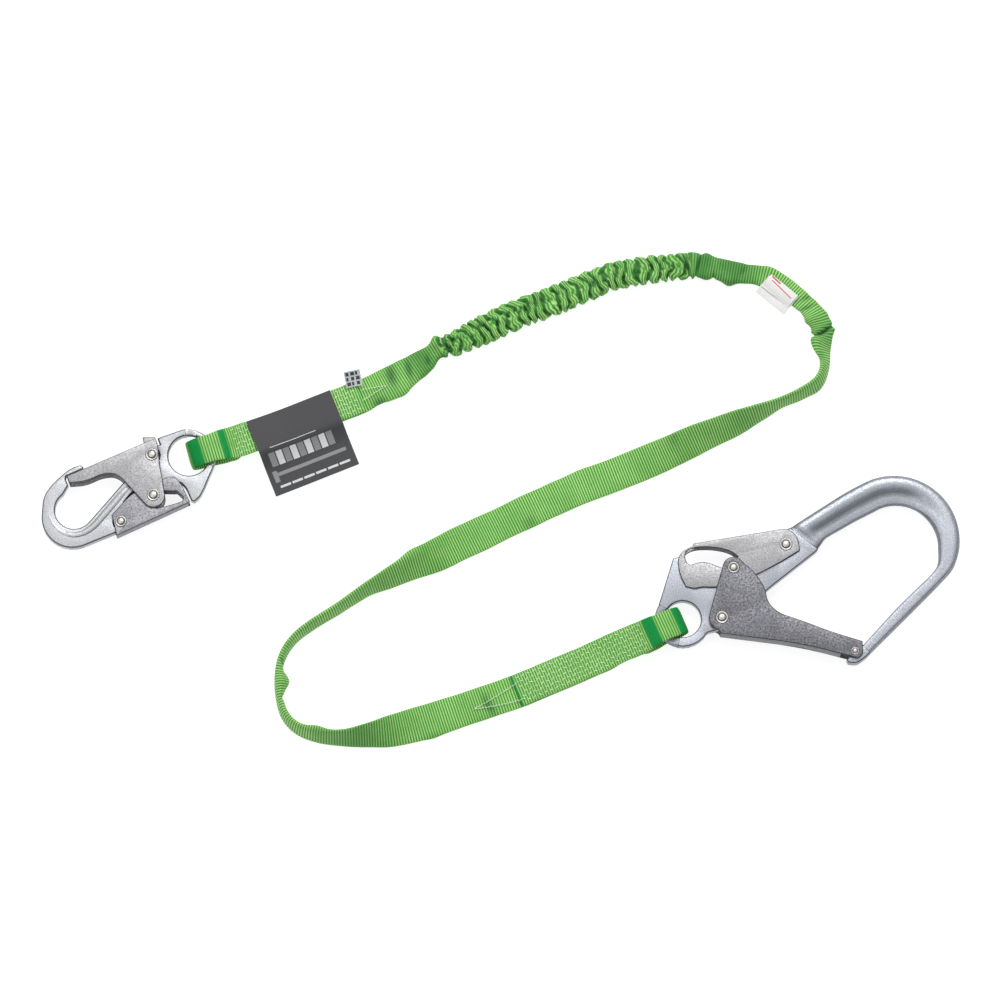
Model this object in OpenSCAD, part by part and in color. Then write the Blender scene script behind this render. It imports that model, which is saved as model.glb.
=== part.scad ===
// Shock absorbing lanyard: a stretch web with a gathered shock section, a snap hook
// on one end and a large rebar hook on the other, lying flat with +Z up.
// Each hook is drawn in its own frame, with its origin at the centre of its eye.

/* [Webbing] */
// Width of the flat web
web_w = 25; // [20:0.5:27]
// Thickness of the tubular web lying flat
web_t = 3.6; // [3.4:0.1:4.5]
// Thickness of the folded end strap
strap_t = 2.2; // [1.8:0.1:2.4]
// Width of the web where it passes through the eyes
eye_web_w = 20; // [17:0.5:20]
// Thickness of the inner energy core
core_t = 1.4; // [1.0:0.1:1.6]
// Depth of each gather
gather_depth = 2; // [1:0.25:3]

/* [Plates and rivets] */
// Height of both hooks' middle plane above the floor
mid_z = 10.5; // [10.5:0.25:12]
// Thickness of the flat forged body of each hook
body_t = 9.6; // [8.6:0.2:9.6]
// Thickness of the stamped gate and lever plates
plate_t = 1.6; // [1.2:0.1:1.6]
// Gap between neighbouring plates
plate_gap = 0.4; // [0.3:0.05:0.5]
// Radius of the pivot rivets
rivet_r = 3; // [2.6:0.1:3.2]
// Radius of the lock pins
lock_pin_r = 2.6; // [2.2:0.1:2.6]
// Running clearance of the pivoting plates on their rivets
rivet_play = 0.06; // [0.02:0.01:0.1]
// Height of the rivet heads
head_h = 1.6; // [1.2:0.1:1.6]
// Radius of the rivet heads
head_r = 4.6; // [4.2:0.1:4.8]

/* [Snap hook] */
// Radius of the eye's hole
snap_hole_r = 15; // [14.5:0.25:15.5]
// Radius of the round bar of the eye
snap_bar_r = 2.5; // [2:0.1:2.6]
// Radius of the seat inside the bow
snap_bow_r = 14; // [13.5:0.25:14.25]
// Thickness of the bow
snap_bow_t = 11; // [9.6:0.2:12]

/* [Rebar hook] */
// Radius of the eye's hole
rebar_hole_r = 13.4; // [13.2:0.1:13.6]
// Radius of the round bar of the eye
rebar_bar_r = 3.5; // [3:0.1:3.6]
// Radius of the seat inside the bow
rebar_bow_r = 31; // [30.5:0.25:31.5]
// Thickness of the bow
rebar_bow_t = 13; // [10:0.2:13.2]
// Radius of the small pin at the gate's tip
tip_pin_r = 1.8; // [1.5:0.1:1.9]

/* [Labels] */
// Width of the identification label
label_w = 64; // [55:1:70]
// Width of the small batch tag
tag_w = 12; // [9:1:14]
// Width of the folded inspection tag
fold_tag_w = 27; // [20:1:30]

/* [Hidden] */
$fn = 64;

// Plate stack, measured from the hook's middle plane.
body_h = body_t / 2;
lever_in = body_h + plate_gap;
lever_out = lever_in + plate_t;
gate_in = lever_out + plate_gap;
gate_out = gate_in + plate_t;
head_gap = 0.1;

// Where each hook lies: the eye's centre and the hook's angle on the floor.
snap_eye = [-227.5, 66.5];
snap_angle = 22;
rebar_eye = [133, -55];
rebar_angle = 16;
// Direction in which the web leaves each eye.
snap_web_angle = 17;
rebar_web_angle = 204;
snap_ring_r = snap_hole_r + snap_bar_r;
rebar_ring_r = rebar_hole_r + rebar_bar_r;
snap_bar = snap_eye + snap_ring_r * [cos(snap_web_angle), sin(snap_web_angle)];
rebar_bar = rebar_eye + rebar_ring_r * [cos(rebar_web_angle), sin(rebar_web_angle)];

// Pivots and pins in each hook's own frame.
snap_gate_pivot = [-25, 10];
snap_pin = [-35, -18.4];
snap_lever_pivot = [-64, -27.4];
snap_seat = [-92.6, -6.3];
rebar_gate_pivot = [27.6, -7.4];
rebar_pin = [46, 25.7];
rebar_lever_pivot = [87.7, 32];
rebar_tip = [113.7, -57.8];
rebar_seat = [165, 9];

// ---------- helpers ----------

// Points of an arc, in steps of about 12 degrees.
function arc(c, r, a0, a1) =
  let (n = ceil(abs(a1 - a0) / 12))
  [for (i = [0:n]) c + r * [cos(a0 + (a1 - a0) * i / n), sin(a0 + (a1 - a0) * i / n)]];

function unit(v) = v / norm(v);

// Smooth curve through every point of a list, with the same number of steps in each gap.
function blend4(a, b, c, d, t) =
  0.5 * (2 * b + (c - a) * t + (2 * a - 5 * b + 4 * c - d) * t * t + (3 * b - a - 3 * c + d) * t * t * t);
function smooth(p, steps) =
  let (n = len(p))
  concat(
    [for (i = [0:n - 2], k = [0:steps - 1])
      blend4(p[max(i - 1, 0)], p[i], p[i + 1], p[min(i + 2, n - 1)], k / steps)],
    [p[n - 1]]
  );

// Flattened tube section: a rectangle with its four corners cut.
function section(w, t) =
  let (c = min(w, t) * 0.28)
  [[w / 2, c - t / 2], [w / 2, t / 2 - c], [w / 2 - c, t / 2], [c - w / 2, t / 2],
   [-w / 2, t / 2 - c], [-w / 2, c - t / 2], [c - w / 2, -t / 2], [w / 2 - c, -t / 2]];
sides = 8;

// One ring of a sweep: p is the centre, across the width's direction and up the thickness's.
function ring(p, across, up, w, t) = [for (q = section(w, t)) p + across * q[0] + up * q[1]];

// Direction of travel at each point of a path.
function travel(p) =
  let (n = len(p))
  [for (i = [0:n - 1]) unit(p[min(i + 1, n - 1)] - p[max(i - 1, 0)])];

function xyz(q) = [q[0], q[1], q[2]];

// Width direction of a web that turns with its path and is rolled about it.
function across_of(d, roll) =
  let (flat = unit([-d[1], d[0], 0]))
  flat * cos(roll) + cross(d, flat) * sin(roll);

// Side faces between consecutive rings whose points start at base.
function skin(rings, base, flip) =
  [for (i = [0:rings - 2], k = [0:sides - 1])
    let (a = base + i * sides + k, b = base + i * sides + (k + 1) % sides,
         f = [a, b, b + sides], g = [a, b + sides, a + sides])
    each flip ? [[f[2], f[1], f[0]], [g[2], g[1], g[0]]] : [f, g]];
// An end face, as a strip between the ring's two long sides, so that a bent section stays true.
function cap(base, flip) =
  [for (k = [0:sides / 2 - 2])
    let (a = base + k, b = a + 1, c = base + sides - 2 - k, d = c + 1)
    each flip ? [[c, b, a], [d, c, a]] : [[a, b, c], [a, c, d]]];
// Flat rim that joins an outer end ring to an inner end ring.
function rim(outer, inner, flip) =
  [for (k = [0:sides - 1])
    let (j = (k + 1) % sides, f = [outer + k, outer + j, inner + j], g = [outer + k, inner + j, inner + k])
    each flip ? [[f[2], f[1], f[0]], [g[2], g[1], g[0]]] : [f, g]];

// Solid swept through a list of rings.
module solid_sweep(rings) {
  n = len(rings);
  polyhedron(
    points = [for (r = rings) each r],
    faces = concat(skin(n, 0, true), cap(0, false), cap((n - 1) * sides, true)),
    convexity = 8
  );
}

// Swept tube with a flat hollow, which can be open or closed at each end.
module hollow_sweep(rings, hollow, open_start, open_end) {
  n = len(rings);
  m = len(hollow);
  inner = n * sides;
  last_outer = (n - 1) * sides;
  last_inner = inner + (m - 1) * sides;
  polyhedron(
    points = concat([for (r = rings) each r], [for (r = hollow) each r]),
    faces = concat(
      skin(n, 0, true),
      skin(m, inner, false),
      open_start ? rim(0, inner, false) : concat(cap(0, false), cap(inner, true)),
      open_end ? rim(last_outer, last_inner, true) : concat(cap(last_outer, true), cap(last_inner, false))
    ),
    convexity = 8
  );
}

// ---------- web route ----------

// Each point is [x, y, lift above the floor, roll, width, thickness].
// The strap and the web below it share the points of the sewn ends.
snap_seam = [
  [-190, 78.5, mid_z - 2.6, 0, eye_web_w, 2.2],
  [-181, 82, 5.8, 0, 22, 2.8],
  [-170, 86, 2.4, 0, web_w, web_t],
  [-158, 91, 0.4, 0, web_w, web_t],
  [-137, 99, 0, 0, web_w, web_t],
  [-117, 107, 0, 0, web_w, web_t],
  [-102, 113, 0, 0, web_w, web_t]
];
snap_run = concat(snap_seam, [
  [-85, 121, 0, 0, web_w, 4],
  [-70, 130, 0, 0, 22.5, 5],
  [-57, 138.5, 0.2, 0, 19, 6.5],
  [-45, 146, 0.6, 0, 15, 8]
]);
shock_run = [
  [-45, 146, 0.6, 0, 15, 8],
  [-32, 153, 0.2, 0, 17, 11],
  [-13, 162, 0, 0, 20, 12],
  [7, 172, 0, 0, 20, 12],
  [33, 182, 0, 0, 20, 12],
  [59, 193, 0, 0, 20, 12],
  [84, 203, 0, 0, 19, 12],
  [109, 207.5, 0, 0, 19, 11.6],
  [127, 210, 0, 0, 18, 10],
  [142, 211.5, 0, 0, 19, 8]
];
long_run = [
  [142, 211.5, 0, 0, 19, 8],
  [158, 209, 0, 0, 17, 7],
  [178, 205.5, 0, 0, 15.5, 6],
  [200, 200.5, 0, 0, 16, 5],
  [217, 188.5, 0, -8, 16, 5],
  [230.5, 175, 0, -20, 16, 5],
  [236.5, 161, 0, -30, 17, 5],
  [236.3, 147, 0, -48, 17.5, 5],
  [238, 135, 0, -72, 18, 4.5],
  [234, 123.5, 0, -76, 20, 4.5],
  [221.5, 114, 0, -78, 21, 4.2],
  [205, 106.5, 0, -82, 22, 4.2],
  [188, 98.5, 0, -66, 23, 4],
  [170, 90.5, 0, -48, 24, web_t],
  [146, 80.5, 0, -38, web_w, web_t],
  [118, 68, 0, -20, web_w, web_t],
  [88, 56, 0, -4, web_w, web_t],
  [58, 44.5, 0, 0, web_w, web_t],
  [28, 31, 0, 0, web_w, web_t],
  [0, 17.5, 0, 0, web_w, web_t],
  [-26, 4.5, 0, -8, web_w, web_t],
  [-46, -6, 0, -24, web_w, web_t],
  [-64, -15, 0, -45, 24, web_t],
  [-81, -24, 0, -60, 23, 4],
  [-99, -33.5, 0, -76, 22, 4.2],
  [-118, -46.5, 0, -80, 21, 4.5],
  [-137, -58.5, 0, -82, 21, 4.5],
  [-150, -69, 0, -84, 21, 4.5],
  [-158, -81, 0, -86, 20, 5],
  [-161.5, -95, 0, -90, 20, 5],
  [-161, -110, 0, -94, 20, 5],
  [-156.5, -125, 0, -98, 20, 5],
  [-147, -135, 0, -102, 21, 4.5],
  [-132, -140.5, 0, -106, 22, 4.2],
  [-113, -142, 0, -112, 23, 4],
  [-94, -139.5, 0, -132, 24, web_t],
  [-74, -135, 0, -157, web_w, web_t],
  [-50, -127.5, 0, -175, web_w, web_t],
  [-26, -119.5, 0, -180, web_w, web_t],
  [11.5, -106.6, 0, -180, web_w, web_t]
];
rebar_seam = [
  [11.5, -106.6, 0, -180, web_w, web_t],
  [24, -101.5, 0, -180, web_w, web_t],
  [45, -92.5, 0, -180, web_w, web_t],
  [65, -84, 0.4, -180, web_w, web_t],
  [76, -79.3, 2.4, -180, web_w, web_t],
  [86, -75, 5.8, -180, 22, 2.8],
  [95.6, -71.2, mid_z - 2.6, -180, eye_web_w, 2.2]
];
main_run = concat(long_run, [for (i = [1:len(rebar_seam) - 1]) rebar_seam[i]]);

// Height of the web's centre where it lies rolled to one side with the given lift.
floor_gap = 0.2;
function centre_z(q) = q[2] + floor_gap + abs(sin(q[3])) * q[4] / 2 + abs(cos(q[3])) * q[5] / 2;

// Rings of a stretch of web that follows its route points.
run_steps = 2;
function route_rings(route, steps, grow_w, grow_t, ripple) =
  let (s = smooth(route, steps), p = [for (q = s) [q[0], q[1], centre_z(q)]], d = travel(p), n = len(s))
  [for (i = [0:n - 1])
    let (a = across_of(d[i], s[i][3]),
         puff = ripple == 0 || i == 0 || i == n - 1 ? 0 : (i % 2 == 0 ? -ripple / 2 : ripple / 2))
    ring(p[i], a, cross(d[i], a), s[i][4] * grow_w[0] + grow_w[1] + puff,
      (grow_t[0] == 0 ? 0 : s[i][5] * grow_t[0]) + grow_t[1] + puff)];

// The core fills 0.6 of the web's width, and its hollow is a little larger.
core_share = 0.6;
core_play = 0.9;
outer_w = [1, 0];
outer_t = [1, 0];
core_w = [core_share, 0];
core_th = [0, core_t];
hollow_w = [core_share, core_play];
hollow_th = [0, core_t + 0.8];
function web_rings(route, steps) = route_rings(route, steps, outer_w, outer_t, 0);
function core_rings(route, steps) = route_rings(route, steps, core_w, core_th, 0);
function hollow_rings(route, steps) = route_rings(route, steps, hollow_w, hollow_th, 0);
function from(list, first) = [for (i = [first:len(list) - 1]) list[i]];
function without_last(list, count) = [for (i = [0:len(list) - 1 - count]) list[i]];
function backwards(list) = [for (i = [len(list) - 1:-1:0]) list[i]];

// ---------- eye loops ----------

// Half profile of the loop round the eye's bar: [distance along the web, height].
loop_profile = [[16, 4], [10, 7.4], [5, 9], [0, 9.35], [-5, 9], [-10, 7.6], [-14.8, 4.6], [-16.8, 0]];
layer_gap = 0.1;

// Strap path: back along the sewn end on top of the web, round the bar, and back below.
// Each point is [x, y, z, heading, width].
function strap_path(bar, heading, seam, headings) =
  let (n = len(seam), m = len(loop_profile), d = [cos(heading), sin(heading)])
  concat(
    [for (i = [n - 1:-1:0])
      let (lift = i == 0 ? 2.6 : seam[i][5] / 2 + strap_t / 2 + layer_gap)
      [seam[i][0], seam[i][1], centre_z(seam[i]) + lift, headings[i], i < 2 ? seam[i][4] : web_w - 1]],
    [for (i = [0:m - 1])
      let (q = loop_profile[i])
      [bar[0] + d[0] * q[0], bar[1] + d[1] * q[0], mid_z + q[1], heading, eye_web_w]],
    [for (i = [m - 2:-1:0])
      let (q = loop_profile[i])
      [bar[0] + d[0] * q[0], bar[1] + d[1] * q[0], mid_z - q[1], heading, eye_web_w]],
    [[seam[0][0], seam[0][1], centre_z(seam[0]), headings[0], eye_web_w]]
  );
strap_steps = 2;
function strap_rings(path) =
  let (s = smooth(path, strap_steps), p = [for (q = s) xyz(q)], d = travel(p))
  [for (i = [0:len(s) - 1])
    let (a = [-sin(s[i][3]), cos(s[i][3]), 0])
    ring(p[i], a, unit(cross(d[i], a)), s[i][4], strap_t)];

snap_headings = [18, 20, 21, 21.5, 21.5, 21.5, 22];
rebar_headings = [203.5, 203, 203, 203, 203, 203, 202.5];
snap_strap = strap_path(snap_bar, snap_web_angle, snap_seam, snap_headings);
rebar_strap = strap_path(rebar_bar, rebar_web_angle, backwards(rebar_seam), rebar_headings);

// Straight rows of stitching on top of a strap's sewn stretch.
stitch_rows = [-9, -5.5, -2, 2, 5.5, 9];
stitch_w = 0.9;
stitch_h = 0.5;
module stitch_lines(path) {
  sewn = [for (i = [5:-1:0]) path[i]];
  for (row = stitch_rows) {
    solid_sweep([for (q = sewn)
      let (a = [-sin(q[3]), cos(q[3]), 0])
      ring([q[0], q[1], q[2] + strap_t / 2 + stitch_h / 2 + 0.08] + a * row, a, [0, 0, 1], stitch_w, stitch_h)]);
  }
}

// ---------- hook helpers ----------

// Puts a shape drawn in the snap hook's frame, or the rebar hook's, where the hook lies.
module at_snap() {
  translate([snap_eye[0], snap_eye[1], mid_z])
    rotate([0, 0, snap_angle])
      children();
}
module at_rebar() {
  translate([rebar_eye[0], rebar_eye[1], mid_z])
    rotate([0, 0, rebar_angle])
      children();
}

// A flat plate between two heights, and the same plate on both sides of the middle plane.
module slab(points, z0, z1) {
  translate([0, 0, z0])
    linear_extrude(height = z1 - z0)
      polygon(points);
}
module both_slabs(points, z0, z1) {
  slab(points, z0, z1);
  slab(points, -z1, -z0);
}
module hole(at, r, half) {
  translate([at[0], at[1], -half])
    cylinder(r = r, h = 2 * half);
}
module eye_bar(mean_r, bar_r) {
  rotate_extrude()
    translate([mean_r, 0])
      circle(r = bar_r, $fn = 32);
}

// Rivet with a shaft and two low domed heads outside the plates.
module rivet(at, r, outer, big_r) {
  face = outer + head_gap;
  translate([at[0], at[1], 0])
    rotate_extrude()
      polygon([
        [0, -face - head_h], [big_r * 0.45, -face - head_h], [big_r * 0.8, -face - head_h * 0.75],
        [big_r, -face - head_h * 0.3], [big_r, -face], [r, -face], [r, face], [big_r, face],
        [big_r, face + head_h * 0.3], [big_r * 0.8, face + head_h * 0.75],
        [big_r * 0.45, face + head_h], [0, face + head_h]
      ]);
}

// Torsion spring wound round a pivot, as a round wire with one tangent leg at each end.
spring_turns = 2.5;
spring_steps = 14;
spring_leg = 7;
spring_sides = 6;
function coil_path(r, z0, pitch) =
  let (n = floor(spring_turns * spring_steps), end = spring_turns * 360)
  concat(
    [[r, -spring_leg, z0]],
    [for (i = [0:n]) let (a = end * i / n) [r * cos(a), r * sin(a), z0 + pitch * a / 360]],
    [[-r, -spring_leg, z0 + pitch * spring_turns]]
  );
module spring(at, r, wire, z0, pitch, turn) {
  p = coil_path(r, z0, pitch);
  d = travel(p);
  n = len(p);
  translate([at[0], at[1], 0])
    rotate([0, 0, turn])
      polyhedron(
        points = [for (i = [0:n - 1])
          let (side = unit([-d[i][1], d[i][0], 0]), up = cross(d[i], side))
          each [for (k = [0:spring_sides - 1])
            p[i] + (side * cos(60 * k) + up * sin(60 * k)) * wire / 2]],
        faces = concat(
          [for (i = [0:n - 2], k = [0:spring_sides - 1])
            let (a = i * spring_sides + k, b = i * spring_sides + (k + 1) % spring_sides)
            each [[b + spring_sides, b, a], [a + spring_sides, b + spring_sides, a]]],
          [[for (k = [0:spring_sides - 1]) k]],
          [[for (k = [spring_sides - 1:-1:0]) (n - 1) * spring_sides + k]]
        ),
        convexity = 8
      );
}

// Pocket in a hook body for a spring: a round recess with a slot for each leg.
module spring_pocket(at, r, floor_z, turn) {
  translate([at[0], at[1], floor_z])
    rotate([0, 0, turn]) {
      cylinder(r = r, h = body_t);
      translate([-r, -spring_leg - 1.5, 0])
        cube([2 * r, spring_leg + 1.5, body_t]);
    }
}

// ---------- snap hook ----------

snap_outline = concat(
  [[3.9, 14.5]],
  arc([0, 0], snap_hole_r + 2 * snap_bar_r, 75, 92),
  [[-16.5, 20.6], [-16.5, 15.5], [-27, 15.5], [-33, 13.5], [-38, 6.3], [-50.3, -0.2], [-84.5, -18]],
  arc(snap_seat, snap_bow_r - 0.5, -60, -250),
  [[-89.8, 12.4], [-89.9, 17.7], [-88.9, 19.1], [-76, 19.4], [-74.6, 20.9], [-76.2, 23.1], [-82, 23.5],
   [-88, 22.4], [-102.3, 16.8], [-110.2, 10.8]],
  arc([-95.5, -11], 22.8, 150, 268),
  [[-72, -33.5]],
  arc(snap_lever_pivot, 6, 260, 360),
  [[-56.5, -14.5], [-47.8, -9.6], [-40, -9.6], [-20, -12], [-12.5, -17], [-10.8, -22], [-10.6, -32],
   [-8.7, -33.6], [-4, -32], [0.7, -28], [14.4, -13.9], [10.8, -10.4]]
);
snap_bow_side = [[-78, -60], [-78, 60], [-130, 60], [-130, -60]];
snap_lever_outline = [
  [-70.9, -36.2], [-12, -33.1], [-13, -17.3], [-15.6, -11.1], [-19.9, -9.6], [-47, -9.8], [-68.5, -20.4]
];
snap_slot = [
  [-38.2, -17], [-38.2, -25], [-36, -28.4], [-22.7, -30], [-17, -30.2], [-15.2, -27.6], [-17.9, -21.9],
  [-25.7, -18.7], [-33.2, -15.2]
];
snap_gate_outline = concat(
  [[-88.5, 12.8], [-77, 9.3], [-65, 10], [-57, 8], [-52.5, 3.5]],
  arc([-35.3, -19.2], 8.4, 195, 352),
  [[-24.8, -11.5], [-21.7, 3.6], [-18, 15.5], [-18, 20.5], [-88.5, 18.4]]
);
snap_gate_spine = [[-88.5, 16.6], [-18, 18.7], [-18, 20.5], [-88.5, 18.4]];
snap_gate_lug = [[-27.4, 19.6], [-18, 19.8], [-18, 21.4], [-26.6, 24.6]];

module snap_hook_body() {
  color("silver") at_snap() {
    difference() {
      union() {
        slab(snap_outline, -body_h, body_h);
        intersection() {
          slab(snap_outline, -snap_bow_t / 2, snap_bow_t / 2);
          slab(snap_bow_side, -snap_bow_t, snap_bow_t);
        }
      }
      hole([0, 0], snap_hole_r, body_t);
      hole(snap_seat, snap_bow_r, body_t);
      hole(snap_gate_pivot, rivet_r, body_t);
      hole(snap_lever_pivot, rivet_r, body_t);
      spring_pocket(snap_gate_pivot, 5.4, 1.4, 60);
      spring_pocket(snap_lever_pivot, 4.8, -0.4, 135);
    }
    eye_bar(snap_ring_r, snap_bar_r);
  }
}

module snap_gate() {
  color("lightgray") at_snap() difference() {
    union() {
      both_slabs(snap_gate_outline, gate_in, gate_out);
      slab(snap_gate_spine, -gate_out, gate_out);
      slab(snap_gate_lug, -4, 4);
    }
    hole(snap_gate_pivot, rivet_r + rivet_play, 2 * gate_out);
    hole(snap_pin, lock_pin_r, 2 * gate_out);
  }
}
module snap_gate_rivet() {
  color("gainsboro") at_snap() rivet(snap_gate_pivot, rivet_r, gate_out, head_r);
}
module snap_lock_pin() {
  color("gainsboro") at_snap() rivet(snap_pin, lock_pin_r, gate_out, head_r);
}
module snap_lock_lever() {
  color("dimgray") at_snap() difference() {
    union() {
      both_slabs(snap_lever_outline, lever_in, lever_out);
      slab([[-70.9, -36.2], [-13.5, -33.2], [-13.5, -31.6], [-70.9, -34.6]], -lever_out, lever_out);
    }
    slab(snap_slot, -gate_out, gate_out);
    hole(snap_pin, lock_pin_r + 0.5, gate_out);
    hole(snap_lever_pivot, rivet_r + rivet_play, gate_out);
  }
}
module snap_lever_rivet() {
  color("gainsboro") at_snap() rivet(snap_lever_pivot, rivet_r, lever_out, head_r - 0.4);
}
module snap_gate_spring() {
  color("slategray") at_snap() spring(snap_gate_pivot, 4.3, 1.3, 2.4, 1.5, 60);
}
module snap_lever_spring() {
  color("slategray") at_snap() spring(snap_lever_pivot, 3.9, 1.1, 0.5, 1.3, 135);
}

// ---------- rebar hook ----------

rebar_outline = concat(
  [[-9.1, 9.8], [-13.9, 14.9], [5.8, 45], [10.5, 45], [12, 36], [13.5, 31], [15.5, 25.5]],
  arc(rebar_gate_pivot, 34, 106, 64),
  [[45.5, 21.5], [50, 24], [52, 30], [57, 37.5], [85, 41], [93.2, 43], [102.7, 46], [141, 57.5]],
  arc([165, 14], 47.7, 105, -30),
  [[193, -23], [166, -38.4], [119.4, -64.3], [112.6, -66.6], [107, -64.3], [106.2, -62], [108, -60.2],
   [115.5, -60.2], [116.6, -58.5], [118, -56.2], [121.4, -54.2], [159.2, -31.2],
   [184, -17.8], [189, -13], [192.5, -7]],
  arc(rebar_seat, rebar_bow_r - 0.5, -22, 116),
  [[145, 36.6], [117.2, 29.5], [108, 21.5], [64.6, 3.6], [42, -7]],
  arc(rebar_gate_pivot, 8, -20, -110),
  arc([0, 0], rebar_hole_r + 2 * rebar_bar_r, -45, -117),
  [[-6.1, -11.9]]
);
// The thick bow starts past the end of the lever.
rebar_bow_side = [[94, 43.4], [109.2, 23.1], [109.2, -90], [240, -90], [240, 80], [94, 80]];
rebar_lever_outline = [
  [23.2, 51.3], [91.5, 43.5], [96, 38.5], [97.5, 33], [96.4, 25], [85.4, 21.7], [64.8, 16.8], [45, 14.5],
  [29.6, 15.3], [20.1, 18.6], [14.8, 18.6], [8.8, 22], [6.8, 33.2], [8.8, 43.3], [12.6, 47.6], [19.1, 49.3],
  [21.5, 49.4]
];
rebar_slot = [
  [43.7, 24], [38, 28.2], [31.9, 33], [26.8, 36.2], [21, 36.8], [16.5, 36.6], [14.4, 39], [14.2, 43],
  [16, 46.6], [20, 47.9], [25, 47.7], [34.6, 45.3], [43.5, 41], [48.3, 37.4], [51.5, 33], [49.6, 30], [49.2, 25.7]
];
rebar_gate_outline = concat(
  arc(rebar_gate_pivot, 9.5, 158, 240),
  [[23.5, -18.5], [77.8, -41.9], [114.3, -63.7], [118.6, -61.5], [121, -52.3], [99.7, -38.3], [86.9, -28.4],
   [68, -15.1], [62.8, -5.7], [64, 4.6], [60, 18.2]],
  arc(rebar_pin, 8, 15, 150)
);
rebar_gate_spine = [
  [23.5, -18.5], [77.8, -41.9], [103, -57], [103.9, -55.4], [78.7, -40.2], [24.2, -16.8]
];

module rebar_hook_body() {
  color("silver") at_rebar() {
    difference() {
      union() {
        slab(rebar_outline, -body_h, body_h);
        intersection() {
          slab(rebar_outline, -rebar_bow_t / 2, rebar_bow_t / 2);
          slab(rebar_bow_side, -rebar_bow_t, rebar_bow_t);
        }
      }
      hole([0, 0], rebar_hole_r, body_t);
      hole(rebar_seat, rebar_bow_r, body_t);
      hole(rebar_gate_pivot, rivet_r, body_t);
      hole(rebar_lever_pivot, rivet_r, body_t);
      spring_pocket(rebar_gate_pivot, 5.4, 1.4, 0);
      spring_pocket(rebar_lever_pivot, 4.8, -0.4, -90);
    }
    eye_bar(rebar_ring_r, rebar_bar_r);
  }
}
module rebar_gate() {
  color("gray") at_rebar() difference() {
    union() {
      both_slabs(rebar_gate_outline, gate_in, gate_out);
      slab(rebar_gate_spine, -gate_out, gate_out);
    }
    hole(rebar_gate_pivot, rivet_r + rivet_play, 2 * gate_out);
    hole(rebar_pin, lock_pin_r, 2 * gate_out);
    hole(rebar_tip, tip_pin_r, 2 * gate_out);
  }
}
module rebar_gate_rivet() {
  color("gainsboro") at_rebar() rivet(rebar_gate_pivot, rivet_r, gate_out, head_r);
}
module rebar_lock_pin() {
  color("gainsboro") at_rebar() rivet(rebar_pin, lock_pin_r, gate_out, head_r - 0.4);
}
module rebar_tip_pin() {
  color("gainsboro") at_rebar() rivet(rebar_tip, tip_pin_r, gate_out, 2.9);
}
module rebar_lock_lever() {
  color("lightgray") at_rebar() difference() {
    union() {
      both_slabs(rebar_lever_outline, lever_in, lever_out);
      slab([[23.2, 51.3], [23, 49.5], [88, 42.1], [88, 43.9]], -lever_out, lever_out);
    }
    slab(rebar_slot, -gate_out, gate_out);
    hole(rebar_pin, lock_pin_r + 0.5, gate_out);
    hole(rebar_lever_pivot, rivet_r + rivet_play, gate_out);
  }
}
module rebar_lever_rivet() {
  color("gainsboro") at_rebar() rivet(rebar_lever_pivot, rivet_r, lever_out, head_r);
}
module rebar_gate_spring() {
  color("slategray") at_rebar() spring(rebar_gate_pivot, 4.3, 1.3, 2.4, 1.5, 0);
}
module rebar_lever_spring() {
  color("slategray") at_rebar() spring(rebar_lever_pivot, 3.9, 1.1, 0.5, 1.3, -90);
}

// ---------- web ----------

module snap_eye_loop() {
  color("limegreen") solid_sweep(strap_rings(snap_strap));
}
module rebar_eye_loop() {
  color("limegreen") solid_sweep(strap_rings(rebar_strap));
}
// The hollow stops this many rings short of the eye, where the web has its full thickness.
blind = 6;
module snap_end_web() {
  color("limegreen") hollow_sweep(
    web_rings(snap_run, run_steps),
    from(hollow_rings(snap_run, run_steps), blind),
    false,
    true
  );
}
shock_steps = 6;
module shock_jacket() {
  color("forestgreen") hollow_sweep(
    route_rings(shock_run, shock_steps, outer_w, outer_t, gather_depth),
    hollow_rings(shock_run, shock_steps),
    true,
    true
  );
}
module main_web() {
  color("limegreen") hollow_sweep(
    web_rings(main_run, run_steps),
    without_last(hollow_rings(main_run, run_steps), blind),
    true,
    false
  );
}
module energy_core() {
  color("ivory") solid_sweep(concat(
    from(core_rings(snap_run, run_steps), blind + 1),
    from(core_rings(shock_run, shock_steps), 1),
    from(without_last(core_rings(main_run, run_steps), blind + 1), 1)
  ));
}
module snap_end_stitching() {
  color("white") stitch_lines(snap_strap);
}
module rebar_end_stitching() {
  color("white") stitch_lines(rebar_strap);
}

// ---------- labels ----------

label_at = [-144, 78];
label_angle = 22;
label_t = 0.9;
// Cross-section of the label, from the floor up over the web: [across, height, share of the rise].
label_curve = [[-29, 0.4, 0.2], [-9, 1.8, 0.5], [3.4, 7.2, 1], [29, 7.4, 1]];
// The label rises with the web towards the eye: [along, rise].
label_rise = [[-0.5, 5], [-0.33, 2.4], [-0.14, 0.6], [0.03, 0], [0.5, 0]];
module id_label() {
  lower = label_curve;
  upper = backwards([for (q = label_curve) q + [0, label_t, 0]]);
  color("dimgray") translate([label_at[0], label_at[1], 0])
    rotate([0, 0, label_angle])
      solid_sweep([for (s = label_rise)
        [for (q = concat(lower, upper)) [s[0] * label_w, q[0], q[1] + s[1] * q[2]]]]);
}
module batch_tag() {
  color("lightgray") translate([-107, 121.5, 7.5])
    rotate([0, 0, 12])
      rotate([18, 0, 0])
        translate([-tag_w / 2, -2, 0])
          cube([tag_w, 12, 1]);
}
module inspection_tag() {
  color("white") translate([204, 189, 8.8])
    rotate([0, 0, -40])
      translate([-fold_tag_w / 2, -8, 0])
        cube([fold_tag_w, 16, 0.8]);
}

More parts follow.
